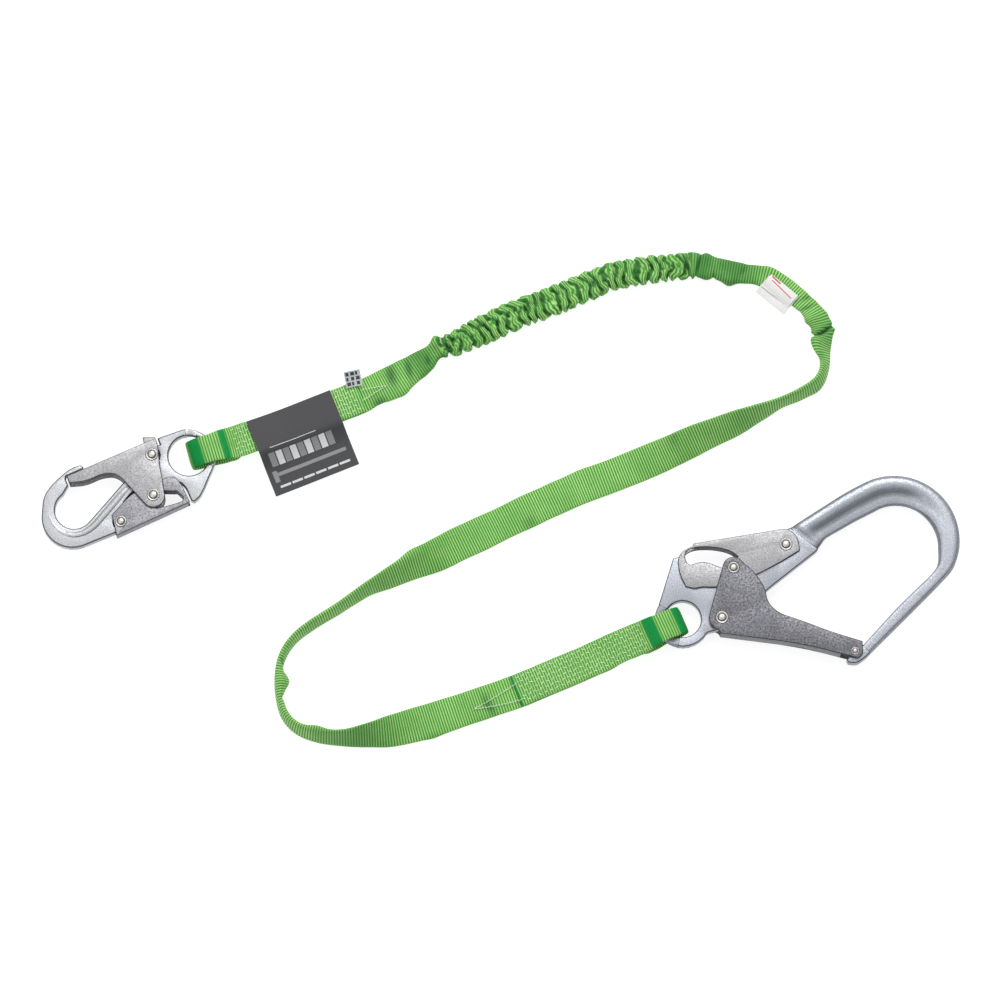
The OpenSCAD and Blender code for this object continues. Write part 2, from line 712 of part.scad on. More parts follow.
snap_hook_body();
snap_gate();
snap_gate_rivet();
snap_lock_pin();
snap_lock_lever();
snap_lever_rivet();
snap_gate_spring();
snap_lever_spring();
rebar_hook_body();
rebar_gate();
rebar_gate_rivet();
rebar_lock_pin();
rebar_tip_pin();
rebar_lock_lever();
rebar_lever_rivet();
rebar_gate_spring();
rebar_lever_spring();
snap_eye_loop();
snap_end_web();
shock_jacket();
main_web();
rebar_eye_loop();
energy_core();
snap_end_stitching();
rebar_end_stitching();
id_label();
batch_tag();
inspection_tag();
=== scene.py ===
import math

import bmesh
import bpy
import numpy as np
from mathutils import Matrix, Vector, noise
from mathutils.geometry import delaunay_2d_cdt


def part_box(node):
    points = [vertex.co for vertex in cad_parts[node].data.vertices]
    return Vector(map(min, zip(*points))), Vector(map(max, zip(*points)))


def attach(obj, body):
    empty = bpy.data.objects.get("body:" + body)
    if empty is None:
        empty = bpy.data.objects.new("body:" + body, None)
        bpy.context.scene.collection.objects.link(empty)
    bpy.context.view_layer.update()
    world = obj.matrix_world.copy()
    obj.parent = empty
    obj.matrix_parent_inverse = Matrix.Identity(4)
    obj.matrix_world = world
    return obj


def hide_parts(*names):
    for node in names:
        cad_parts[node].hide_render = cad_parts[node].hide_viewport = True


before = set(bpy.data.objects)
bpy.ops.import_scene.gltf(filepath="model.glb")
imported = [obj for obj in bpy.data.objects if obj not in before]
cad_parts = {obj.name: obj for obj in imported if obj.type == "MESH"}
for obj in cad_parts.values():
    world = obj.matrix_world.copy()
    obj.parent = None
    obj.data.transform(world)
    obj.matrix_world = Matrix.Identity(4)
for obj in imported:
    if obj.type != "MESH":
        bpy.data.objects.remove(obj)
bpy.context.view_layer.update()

MM = 0.001

# ---------- numbers shared with the frame, in millimetres ----------

MID_Z = 10.5
BODY_HALF = 4.8
SNAP_EYE, SNAP_ANGLE, SNAP_HOLE, SNAP_BAR_R, SNAP_WEB_ANGLE = (-227.5, 66.5), 22, 15, 2.5, 17
REBAR_EYE, REBAR_ANGLE, REBAR_HOLE, REBAR_BAR_R, REBAR_WEB_ANGLE = (133, -55), 16, 13.4, 3.5, 204
EYE_LIFT = MID_Z - 2.6
EYE_W, WEB_W, WEB_T, STRAP_T = 20, 25, 3.6, 2.2
FLOOR_GAP, LAYER_GAP = 0.2, 0.1

# Route of the web from the snap hook to the rebar hook: [x, y, lift, roll, width, thickness].
SNAP_SEAM = [
    [-190, 78.5, EYE_LIFT, 0, EYE_W, 2.2], [-181, 82, 5.8, 0, 22, 2.8], [-170, 86, 2.4, 0, WEB_W, WEB_T],
    [-158, 91, 0.4, 0, WEB_W, WEB_T], [-137, 99, 0, 0, WEB_W, WEB_T], [-117, 107, 0, 0, WEB_W, WEB_T],
    [-102, 113, 0, 0, WEB_W, WEB_T],
]
SNAP_RUN = SNAP_SEAM + [
    [-85, 121, 0, 0, WEB_W, 4], [-70, 130, 0, 0, 22.5, 5], [-57, 138.5, 0.2, 0, 19, 6.5],
]
SHOCK_RUN = [
    [-45, 146, 0.6, 0, 15, 8], [-32, 153, 0.2, 0, 17, 11], [-13, 162, 0, 0, 20, 12], [7, 172, 0, 0, 20, 12],
    [33, 182, 0, 0, 20, 12], [59, 193, 0, 0, 20, 12], [84, 203, 0, 0, 19, 12], [109, 207.5, 0, 0, 19, 11.6],
    [127, 210, 0, 0, 18, 10], [142, 211.5, 0, 0, 19, 8],
]
LONG_RUN = [
    [158, 209, 0, 0, 17, 7], [178, 205.5, 0, 0, 15.5, 6], [200, 200.5, 0, 0, 16, 5], [217, 188.5, 0, -8, 16, 5],
    [230.5, 175, 0, -20, 16, 5], [236.5, 161, 0, -30, 17, 5], [236.3, 147, 0, -48, 17.5, 5],
    [238, 135, 0, -72, 18, 4.5], [234, 123.5, 0, -76, 20, 4.5], [221.5, 114, 0, -78, 21, 4.2],
    [205, 106.5, 0, -82, 22, 4.2], [188, 98.5, 0, -66, 23, 4], [170, 90.5, 0, -48, 24, WEB_T],
    [146, 80.5, 0, -38, WEB_W, WEB_T], [118, 68, 0, -20, WEB_W, WEB_T], [88, 56, 0, -4, WEB_W, WEB_T],
    [58, 44.5, 0, 0, WEB_W, WEB_T], [28, 31, 0, 0, WEB_W, WEB_T], [0, 17.5, 0, 0, WEB_W, WEB_T],
    [-26, 4.5, 0, -8, WEB_W, WEB_T], [-46, -6, 0, -24, WEB_W, WEB_T], [-64, -15, 0, -45, 24, WEB_T],
    [-81, -24, 0, -60, 23, 4], [-99, -33.5, 0, -76, 22, 4.2], [-118, -46.5, 0, -80, 21, 4.5],
    [-137, -58.5, 0, -82, 21, 4.5], [-150, -69, 0, -84, 21, 4.5], [-158, -81, 0, -86, 20, 5],
    [-161.5, -95, 0, -90, 20, 5], [-161, -110, 0, -94, 20, 5], [-156.5, -125, 0, -98, 20, 5],
    [-147, -135, 0, -102, 21, 4.5], [-132, -140.5, 0, -106, 22, 4.2], [-113, -142, 0, -112, 23, 4],
    [-94, -139.5, 0, -132, 24, WEB_T], [-74, -135, 0, -157, WEB_W, WEB_T], [-50, -127.5, 0, -175, WEB_W, WEB_T],
    [-26, -119.5, 0, -180, WEB_W, WEB_T],
]
REBAR_SEAM = [
    [11.5, -106.6, 0, -180, WEB_W, WEB_T], [24, -101.5, 0, -180, WEB_W, WEB_T], [45, -92.5, 0, -180, WEB_W, WEB_T],
    [65, -84, 0.4, -180, WEB_W, WEB_T], [76, -79.3, 2.4, -180, WEB_W, WEB_T], [86, -75, 5.8, -180, 22, 2.8],
    [95.6, -71.2, EYE_LIFT, -180, EYE_W, 2.2],
]
ROUTE = SNAP_RUN + SHOCK_RUN + LONG_RUN + REBAR_SEAM


# ---------- small helpers ----------

def smooth_curve(points, steps):
    """Smooth curve through every point, with the same number of steps in each gap."""
    p = np.array(points, float)
    padded = np.vstack([p[:1], p, p[-1:]])
    t = (np.arange(steps) / steps)[:, None]
    out = []
    for a, b, c, d in zip(padded, padded[1:], padded[2:], padded[3:]):
        out.append(0.5 * (2 * b + (c - a) * t + (2 * a - 5 * b + 4 * c - d) * t**2 + (3 * b - a - 3 * c + d) * t**3))
    return np.vstack(out + [p[-1:]])


def travelled(points):
    """Distance along a line of points, from its first one."""
    return np.concatenate([[0], np.cumsum(np.linalg.norm(np.diff(points[:, :3], axis=0), axis=1))])


def even(rows, spacing):
    """The same curve with rows an even distance apart; the first three columns are the place."""
    s = travelled(rows)
    count = int(round(s[-1] / spacing))
    at = np.linspace(0, s[-1], count + 1)
    return np.column_stack([np.interp(at, s, rows[:, k]) for k in range(rows.shape[1])]), at


def unit_rows(v):
    return v / np.linalg.norm(v, axis=1)[:, None]


def smoothstep(x, low, high):
    t = np.clip((x - low) / (high - low), 0, 1)
    return t * t * (3 - 2 * t)


def noise_at(x, y, z):
    """Smooth noise from -1 to 1 over arrays of the same shape."""
    flat = np.column_stack([np.ravel(x), np.ravel(y), np.ravel(z)])
    return np.array([noise.noise(Vector(q)) for q in flat]).reshape(np.shape(x))


class Builder:
    """Collects vertices and faces, in millimetres, for one mesh."""

    def __init__(self):
        self.points, self.faces, self.edges = [], [], []

    def add(self, points, faces, edge_shade=0.0):
        """The last argument is how much painted shade each point gets at an edge, as one number or one for each
        point.
        """
        base = len(self.points)
        self.points.extend([tuple(float(c) for c in p) for p in points])
        self.faces.extend([tuple(base + i for i in f) for f in faces])
        self.edges.extend(edge_shade if isinstance(edge_shade, list) else [edge_shade] * len(points))

    def grid(self, rows, caps=True, edge_shade=0.0):
        """Skin over rings of points, with a cap on both ends if caps is true."""
        n, m = len(rows), len(rows[0])
        faces = []
        for i in range(n - 1):
            for k in range(m):
                j = (k + 1) % m
                faces.append((i * m + k, i * m + j, (i + 1) * m + j, (i + 1) * m + k))
        if caps:
            faces.append(tuple(range(m - 1, -1, -1)))
            faces.append(tuple((n - 1) * m + k for k in range(m)))
        self.add([p for row in rows for p in row], faces, edge_shade)

    def make(self, name, material, body, slot, angle=40):
        mesh = bpy.data.meshes.new(name)
        mesh.from_pydata([(x * MM, y * MM, z * MM) for x, y, z in self.points], [], self.faces)
        mesh.validate()
        bm = bmesh.new()
        bm.from_mesh(mesh)
        bmesh.ops.recalc_face_normals(bm, faces=bm.faces)
        bm.to_mesh(mesh)
        bm.free()
        for poly in mesh.polygons:
            poly.use_smooth = True
        if angle:
            mesh.set_sharp_from_angle(angle=math.radians(angle))
        mesh.materials.append(material)
        obj = bpy.data.objects.new(name, mesh)
        bpy.context.scene.collection.objects.link(obj)
        # Stores the painted edge shade for the plated materials.
        if any(self.edges):
            attribute(obj, "edge_shade", self.edges)
        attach(obj, body)
        return obj


def attribute(obj, name, values):
    """Stores one number for each vertex, for the material to read."""
    layer = obj.data.attributes.new(name, "FLOAT", "POINT")
    layer.data.foreach_set("value", np.asarray(values, np.float32).ravel())


# ---------- materials ----------

class Surface:
    """A node material, with short calls for its nodes and links."""

    def __init__(self, name, roughness, metallic=0.0, **sockets):
        self.material = bpy.data.materials.new(name)
        self.material.use_nodes = True
        self.tree = self.material.node_tree
        self.tree.nodes.clear()
        self.shader = self.tree.nodes.new("ShaderNodeBsdfPrincipled")
        self.shader.inputs["Roughness"].default_value = roughness
        self.shader.inputs["Metallic"].default_value = metallic
        for key, value in sockets.items():
            self.shader.inputs[key.replace("_", " ")].default_value = value
        out = self.tree.nodes.new("ShaderNodeOutputMaterial")
        self.tree.links.new(self.shader.outputs[0], out.inputs["Surface"])

    def put(self, node, key, value):
        if isinstance(value, bpy.types.NodeSocket):
            self.tree.links.new(value, node.inputs[key])
        elif isinstance(value, tuple) and len(value) == 3:
            node.inputs[key].default_value = (*value, 1)
        else:
            node.inputs[key].default_value = value

    def read(self, name):
        node = self.tree.nodes.new("ShaderNodeAttribute")
        node.attribute_name = name
        return node.outputs["Fac"]

    def grain(self, size_mm, detail=2.0):
        """Noise with features of about this size, from 0 to 1."""
        node = self.tree.nodes.new("ShaderNodeTexNoise")
        self.put(node, "Vector", self.tree.nodes.new("ShaderNodeTexCoord").outputs["Object"])
        node.inputs["Scale"].default_value = 1 / (size_mm * MM)
        node.inputs["Detail"].default_value = detail
        return node.outputs[0]

    def remap(self, value, low, high, to_low=0.0, to_high=1.0):
        node = self.tree.nodes.new("ShaderNodeMapRange")
        for key, v in zip(("Value", "From Min", "From Max", "To Min", "To Max"), (value, low, high, to_low, to_high)):
            self.put(node, key, v)
        return node.outputs[0]

    def mix(self, share, a, b):
        node = self.tree.nodes.new("ShaderNodeMix")
        node.data_type = "RGBA"
        self.put(node, 0, share)
        self.put(node, 6, a)
        self.put(node, 7, b)
        return node.outputs[2]

    def bump(self, height, depth_mm, strength=1.0):
        node = self.tree.nodes.new("ShaderNodeBump")
        node.inputs["Distance"].default_value = depth_mm * MM
        node.inputs["Strength"].default_value = strength
        self.put(node, "Height", height)
        self.put(self.shader, "Normal", node.outputs[0])

    def colour(self, value):
        self.put(self.shader, "Base Color", value)
        return self.material


def plated(name, light, dark, roughness, speckle=0.9, rim_shade=0.75):
    """Zinc-plated steel: a speckled spangle, faint blotches, a slightly pitted skin and painted shade along its
    edges.
    """
    s = Surface(name, roughness, metallic=1.0)
    fine = s.remap(s.grain(speckle, 3.0), 0.35, 0.65)
    blotch = s.remap(s.grain(14, 2.0), 0.3, 0.7)
    tone = s.mix(fine, dark, light)
    tone = s.mix(blotch, s.mix(0.3, tone, dark), tone)
    # Painted shade: edges, side walls and rivet grooves are mixed towards near-black, standing in for the dark
    # reflections along down-turned edges.
    tone = s.mix(s.remap(s.read("edge_shade"), 0.0, 1.0, 0.0, rim_shade), tone, (0.030, 0.036, 0.05))
    s.put(s.shader, "Roughness", s.remap(fine, 0, 1, roughness + 0.08, roughness - 0.06))
    s.bump(s.grain(speckle, 2.0), 0.05, 0.5)
    return s.colour(tone)


def webbing(name, groove, crest_highlight, band, crease_shade_colour):
    """Ribbed web: green grooves under pale crests of painted highlight, saturated bands, and painted shade in the
    creases.
    """
    s = Surface(name, 0.6, Sheen_Weight=0.1, Sheen_Roughness=0.4)
    s.shader.inputs["Sheen Tint"].default_value = (0.8, 1.0, 0.5, 1)
    s.shader.inputs["Specular IOR Level"].default_value = 0.18
    # Painted highlight on the ribbed weave: crests are mixed to a pale highlight colour, grooves keep the darker
    # green.
    rib = s.remap(s.read("rib"), 0.3, 0.9)
    patch = s.remap(s.grain(22, 2.0), 0.35, 0.7)
    thread = s.remap(s.grain(0.7, 2.0), 0.3, 0.7)
    highlight_tone = s.mix(patch, crest_highlight, s.mix(0.35, crest_highlight, groove))
    tone = s.mix(rib, groove, highlight_tone)
    tone = s.mix(s.remap(thread, 0, 1, 0.0, 0.22), tone, groove)
    tone = s.mix(s.read("band"), tone, band)
    # Painted shade in creases, folds, pits and listed stretches.
    tone = s.mix(s.read("crease_shade"), tone, crease_shade_colour)
    s.bump(s.grain(0.5, 2.0), 0.06, 0.5)
    return s.colour(tone)


def cloth_like(name, colour, other, roughness, size=0.6):
    s = Surface(name, roughness, Sheen_Weight=0.2)
    weave = s.grain(size, 2.0)
    s.bump(weave, 0.08, 0.6)
    return s.colour(s.mix(s.remap(weave, 0.3, 0.7), colour, other))


FORGED = plated("forged_steel", (0.48, 0.50, 0.54), (0.29, 0.31, 0.35), 0.40)
BRIGHT_FORGED = plated("bright_forged_steel", (0.60, 0.61, 0.63), (0.38, 0.39, 0.41), 0.40)
PLATE = plated("gate_steel", (0.47, 0.465, 0.475), (0.27, 0.27, 0.28), 0.42)
GREY_PLATE = plated("lever_steel", (0.40, 0.40, 0.42), (0.20, 0.20, 0.22), 0.42, 1.1)
DARK_PLATE = plated("dark_steel", (0.25, 0.25, 0.265), (0.10, 0.10, 0.115), 0.42, 1.3)
RIVET = plated("rivet_steel", (0.70, 0.68, 0.64), (0.48, 0.46, 0.43), 0.30, 0.6)
SPRING = plated("spring_steel", (0.45, 0.46, 0.48), (0.30, 0.31, 0.33), 0.35, 0.5)
# Web colours in order: groove green, pale crest colour for painted highlights, band green, and dark green for painted
# shade in creases.
WEB = webbing("green_web", (0.055, 0.30, 0.035), (0.50, 0.81, 0.28), (0.002, 0.27, 0.05), (0.006, 0.09, 0.022))
THREAD = cloth_like("stitch_thread", (0.78, 0.86, 0.70), (0.60, 0.78, 0.50), 0.55, 0.3)
LABEL = cloth_like("label_vinyl", (0.036, 0.036, 0.039), (0.052, 0.052, 0.056), 0.6, 0.4)
PRINT_GREY = cloth_like("label_grey_print", (0.28, 0.28, 0.29), (0.22, 0.22, 0.23), 0.5, 0.5)
PRINT_WHITE = cloth_like("label_white_print", (0.72, 0.72, 0.72), (0.60, 0.60, 0.61), 0.5, 0.5)
PRINT_RED = cloth_like("tag_red_print", (0.55, 0.03, 0.04), (0.65, 0.10, 0.10), 0.6, 0.5)
SILVER_TAG = cloth_like("silver_tag", (0.42, 0.46, 0.48), (0.66, 0.70, 0.72), 0.4, 0.8)
WHITE_TAG = cloth_like("white_tag", (0.86, 0.85, 0.83), (0.72, 0.71, 0.70), 0.7, 0.5)


# ---------- web ----------

RIB_PITCH = 1.94
RING_GAP = 0.4
AROUND = 56
SECTION_POWER = 3.0


def superellipse(count, power):
    """Points round a flattened section: share of the half width and share of the half thickness."""
    a = np.arange(count) * 2 * math.pi / count
    c, s = np.cos(a), np.sin(a)
    x = np.sign(c) * np.abs(c) ** (2 / power)
    y = np.sign(s) * np.abs(s) ** (2 / power)
    return x, y


def centre_height(rows):
    """Height of the web's centre where it lies rolled to one side with the given lift."""
    roll = np.radians(rows[:, 3])
    return rows[:, 2] + FLOOR_GAP + np.abs(np.sin(roll)) * rows[:, 4] / 2 + np.abs(np.cos(roll)) * rows[:, 5] / 2


def web_line():
    """Even rows along the web: place, roll, width and thickness, and the distance along."""
    rows = smooth_curve(ROUTE, 24)
    line = np.column_stack([rows[:, 0], rows[:, 1], centre_height(rows), rows[:, 3:]])
    return even(line, RING_GAP)


def section_mesh(place, across, up, width, thick, push, power):
    """Vertices of a swept flat tube; push moves each point outwards."""
    x, y = superellipse(AROUND, power)
    nx = np.sign(x) * np.abs(x) ** (power - 1) / (width / 2)[:, None]
    ny = np.sign(y) * np.abs(y) ** (power - 1) / (thick / 2)[:, None]
    size = np.sqrt(nx**2 + ny**2)
    px = x * (width / 2)[:, None] + push * nx / size
    py = y * (thick / 2)[:, None] + push * ny / size
    return place[:, None, :] + across[:, None, :] * px[..., None] + up[:, None, :] * py[..., None]


def nearest(line, x, y):
    return int(np.argmin((line[:, 0] - x) ** 2 + (line[:, 1] - y) ** 2))


# Bumps (+) and creases (-) in the web: [x, y, depth, half length, across at, across spread, slant, side].
# Across runs from -1 to 1 over the width; side 1 is the face that the thickness direction points to, 0 is both.
FOLDS = [
    [-92, 117, -1.6, 5, -1.0, 0.5, 0, 0], [-80, 126.5, -1.5, 4, 0.35, 0.7, 3, 1], [-76, 125, 1.8, 6, -1.0, 0.5, 0, 0],
    [-66.5, 132, -1.4, 2.8, 0.1, 0.8, 3, 1], [-60, 137, 0.8, 4, -0.6, 0.5, 0, 0],
    [-44, 149, 4.4, 4.8, 0.8, 0.6, 0, 0],
    [-54, 141, -1.6, 2.6, -0.2, 0.6, 2, 1], [-46, 146, -3.4, 5.5, -1.0, 0.5, 0, 0],
    [-39, 150, -2.4, 1.5, 0, 1.4, 1, 0],
    [137, 211, -2.4, 1.8, -0.2, 1.2, -2, 0], [141, 211.5, 1.6, 2.4, -1.0, 0.6, 0, 0],
    [146, 211, -2.0, 1.4, 0.0, 1.4, 1, 0],
    [151, 210, 1.4, 4, 0.9, 0.5, 0, 0], [153, 210, 1.2, 3.5, -1.0, 0.5, 0, 0], [158, 209, -1.5, 1.6, -0.9, 0.7, 0, 0],
    [164, 208, -1.0, 2.0, 0.0, 0.5, -4, 1], [170, 207, 3.6, 5.5, -1.0, 0.5, 0, 0],
    [166, 207.5, 0.8, 3, -0.4, 0.3, 6, 1],
    [178, 205.5, -1.4, 2.4, 0.2, 0.9, 3, 1], [187, 204, -1.0, 5, -0.9, 0.5, 0, 0], [196, 202, 1.2, 6, 0.9, 0.5, 0, 0],
    [222, 184, -1.0, 2.0, 0.5, 0.7, 2, 1], [227, 179, -1.2, 1.6, -0.3, 0.8, 2, 0],
    [232, 172, 1.8, 4.5, -0.9, 0.6, 0, 0],
    [233, 171, 1.2, 4, 0.9, 0.6, 0, 0], [236, 163.5, 1.6, 2.4, 0.0, 1.2, -3, 0], [238, 163, 3.0, 3.0, 1.0, 0.5, 0, 0],
    [236.4, 160, -3.2, 1.5, 0.1, 1.4, -4, 0], [236, 152, 2.0, 5, -0.9, 0.6, 0, 0],
    [237, 141, -0.8, 4, -0.8, 0.5, 0, 0],
    [230, 120, 1.4, 6, 0.6, 0.5, 0, 1], [196, 102, 0.8, 8, 0.5, 0.5, 0, 1],
    [128, 72, -0.5, 4, -0.6, 0.5, 4, 1], [62, 46, 0.5, 9, -1.0, 0.4, 0, 0], [20, 27, -0.6, 5, 0.7, 0.4, 3, 1],
    [-30, 2, 0.8, 9, -0.9, 0.4, 0, 0], [-62, -14, 1.8, 8, -0.8, 0.5, 0, 0], [-104, -37, 0.9, 7, 0.4, 0.5, 0, 1],
    [-160, -88, -1.3, 1.8, -0.4, 0.7, 3, 1], [-161.5, -101, 6.2, 8, -0.35, 0.75, 0, 1],
    [-161.4, -94, -1.4, 1.4, 0.2, 0.8, 3, 1],
    [-161, -114, -1.4, 2.2, -0.2, 0.8, 0, 1], [-134, -140, 3.0, 8, -0.5, 0.6, 0, 1],
    [-84, -138, -0.6, 5, 0.4, 0.5, 3, 1], [-52, -128, 1.2, 7, 0.9, 0.4, 0, 0], [-10, -114, -1.2, 3, 0.3, 0.7, 2, -1],
]
# Stretches of web with painted shade, darker and smoother, with weaker rib highlights: [x, y, half length, amount].
SHADED = [[-56, 139, 9, 0.4], [150, 210, 9, 0.5], [172, 207, 20, 0.5], [232, 160, 14, 0.3], [-105, -141, 24, 0.25]]
GATHER_PITCH = 8.0
GATHER_DEPTH = 4.6
RIBS_PER_GATHER = 4


def folds_push(line, s, x, y):
    """Outward push of every fold and painted shade in its creases, for each ring and each point round it."""
    push = np.zeros((len(s), len(x)))
    dark = np.zeros_like(push)
    for fx, fy, depth, reach, at, spread, slant, side in FOLDS:
        s0 = s[nearest(line, fx, fy)]
        near = np.exp(-((s[:, None] - s0 - slant * x[None, :]) / reach) ** 2)
        near = near * np.exp(-((x[None, :] - at) / spread) ** 2)
        if side:
            near = near * smoothstep(side * y[None, :], -0.3, 0.5)
        push += depth * near
        # Creases get painted shade.
        if depth < 0:
            dark += near * min(1, -depth / 2)
    return push, np.clip(dark, 0, 1)


def gathers_push(s, x, y, start, end):
    """Lobes, creases and ribs of the gathered section, the painted shade in its creases and pits, and how much of
    each there is.
    """
    whole = s
    inside = smoothstep(s, start - 2, start + 5) * (1 - smoothstep(s, end - 5, end + 3))
    rows = np.flatnonzero(inside > 0)
    s = s[rows]
    lean = 3.0 * np.maximum(x, 0) + 1.5 * np.maximum(-x, 0)
    a = np.broadcast_to(s[:, None], (len(s), len(x)))
    b = np.broadcast_to(x[None, :], a.shape)
    c = np.broadcast_to(y[None, :], a.shape)
    middle = np.exp(-(b / 0.45) ** 2) * smoothstep(c, 0.0, 0.7)
    drift = 0.75 * noise_at(a / 17, b * 0.8, c * 0.8 + 3) + 0.16 * noise_at(a / 6, b * 2.2, c * 2 + 9)
    drift = drift + 0.35 * middle * noise_at(a / 5, b * 3.0, c * 2 + 15)
    phase = (a - start + lean[None, :]) / GATHER_PITCH + drift
    lobe = np.abs(np.sin(math.pi * phase)) ** 0.42
    pucker = np.abs(np.sin(math.pi * (2 * phase + 0.4 + 0.8 * noise_at(a / 9, b * 1.8, c + 5)))) ** 0.5
    share = smoothstep(noise_at(a / 10, b * 1.6, c + 17), -0.15, 0.3)
    pit = smoothstep(noise_at(a / 4.5, b * 2.2, c + 29), 0.22, 0.48) * middle
    lower = smoothstep(-b, 0.35, 0.95)
    size = 1 + 0.45 * noise_at(a / 7, b * 0.5, c + 41) + 0.7 * lower - 0.1 * np.maximum(b, 0)
    push = GATHER_DEPTH * size * (lobe - 0.8) + 1.5 * share * (pucker - 0.7) - 2.4 * pit
    # Painted shade between the lobes, in the puckers and in the pits.
    dark = 2.0 * (1 - lobe) ** 1.7 + 0.8 * share * (1 - pucker) ** 1.5 + 0.9 * pit
    found = []
    for values in (push, np.clip(dark, 0, 1), phase * RIBS_PER_GATHER):
        everywhere = np.zeros((len(whole), len(x)))
        everywhere[rows] = values
        found.append(everywhere)
    return inside[:, None], *found


def rib_height(phase):
    return (0.5 + 0.5 * np.cos(2 * math.pi * phase)) ** 0.8


def build_web():
    line, s = web_line()
    place = line[:, :3]
    roll = np.radians(line[:, 3])
    ahead = unit_rows(np.gradient(place, axis=0))
    flat = unit_rows(np.column_stack([-ahead[:, 1], ahead[:, 0], np.zeros(len(s))]))
    across = unit_rows(flat * np.cos(roll)[:, None] + np.cross(ahead, flat) * np.sin(roll)[:, None])
    up = unit_rows(np.cross(ahead, across))
    x, y = superellipse(AROUND, SECTION_POWER)

    start = s[nearest(line, SHOCK_RUN[0][0], SHOCK_RUN[0][1])]
    end = s[nearest(line, SHOCK_RUN[-1][0], SHOCK_RUN[-1][1])]
    inside, lobes, lobe_shade, lobe_ribs = gathers_push(s, x, y, start, end)
    folds, fold_shade = folds_push(line, s, x, y)

    wave = noise_at(s / 23, s * 0, s * 0)[:, None] * 0.25
    plain_ribs = s[:, None] / RIB_PITCH + wave + 0 * x[None, :]
    rib = rib_height(plain_ribs) * (1 - inside) + rib_height(lobe_ribs) * inside
    shade = np.zeros(len(s))
    for tx, ty, reach, amount in SHADED:
        shade = np.maximum(shade, amount * np.exp(-((s - s[nearest(line, tx, ty)]) / reach) ** 2))
    # Painted shade also dims the rib highlights and flattens the ribs there.
    rib = rib * (1 - 0.5 * shade[:, None])
    edge_wave = noise_at(s / 19, s * 0 + 7, s * 0)
    width = line[:, 4] * (1 + 0.035 * edge_wave) - 0.4
    thick = line[:, 5] - 0.3
    push = folds + lobes * inside + 0.34 * (rib - 0.5)
    points = section_mesh(place, across, up, width, thick, push, SECTION_POWER)
    points[..., 2] = np.maximum(points[..., 2], FLOOR_GAP / 2)

    b = Builder()
    b.grid(list(points))
    web = b.make("web_tube", WEB, "web", "green_web", angle=None)
    attribute(web, "rib", rib)
    # Painted shade for the creases, gathers and shaded stretches, stored for the web's material.
    dark = np.maximum(np.maximum(fold_shade, lobe_shade * inside), shade[:, None])
    attribute(web, "crease_shade", np.clip(dark, 0, 0.96))
    attribute(web, "band", np.zeros_like(rib))
    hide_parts("snap_end_web", "shock_jacket", "main_web", "energy_core")
    return web, line, s


# ---------- straps that loop through the eyes ----------

LOOP_PROFILE = [[16, 4], [10, 7.4], [5, 9], [0, 9.35], [-5, 9], [-10, 7.6], [-14.8, 4.6], [-16.8, 0]]


def centre_of(q):
    roll = math.radians(q[3])
    return q[2] + FLOOR_GAP + abs(math.sin(roll)) * q[4] / 2 + abs(math.cos(roll)) * q[5] / 2


def strap_path(eye, ring_r, heading, seam, headings):
    """Along the sewn end on top of the web, round the eye's bar and back below: [x, y, z, heading, width]."""
    d = (math.cos(math.radians(heading)), math.sin(math.radians(heading)))
    bar = (eye[0] + ring_r * d[0], eye[1] + ring_r * d[1])
    path = []
    for i in range(len(seam) - 1, -1, -1):
        q = seam[i]
        lift = 2.6 if i == 0 else q[5] / 2 + STRAP_T / 2 + LAYER_GAP
        path.append([q[0], q[1], centre_of(q) + lift, headings[i], WEB_W - 1])
    loop = [(reach, height) for reach, height in LOOP_PROFILE]
    loop += [(reach, -height) for reach, height in LOOP_PROFILE[-2::-1]]
    for reach, height in loop:
        width = EYE_W + 0.4 + 0.2 * max(reach, 0)
        path.append([bar[0] + d[0] * reach, bar[1] + d[1] * reach, MID_Z + height, heading, width])
    path.append([seam[0][0], seam[0][1], centre_of(seam[0]), headings[0], EYE_W])
    return path


SNAP_STRAP = strap_path(SNAP_EYE, SNAP_HOLE + SNAP_BAR_R, SNAP_WEB_ANGLE, SNAP_SEAM,
                        [18, 20, 21, 21.5, 21.5, 21.5, 22])
REBAR_STRAP = strap_path(REBAR_EYE, REBAR_HOLE + REBAR_BAR_R, REBAR_WEB_ANGLE, REBAR_SEAM[::-1],
                         [203.5, 203, 203, 203, 203, 203, 202.5])


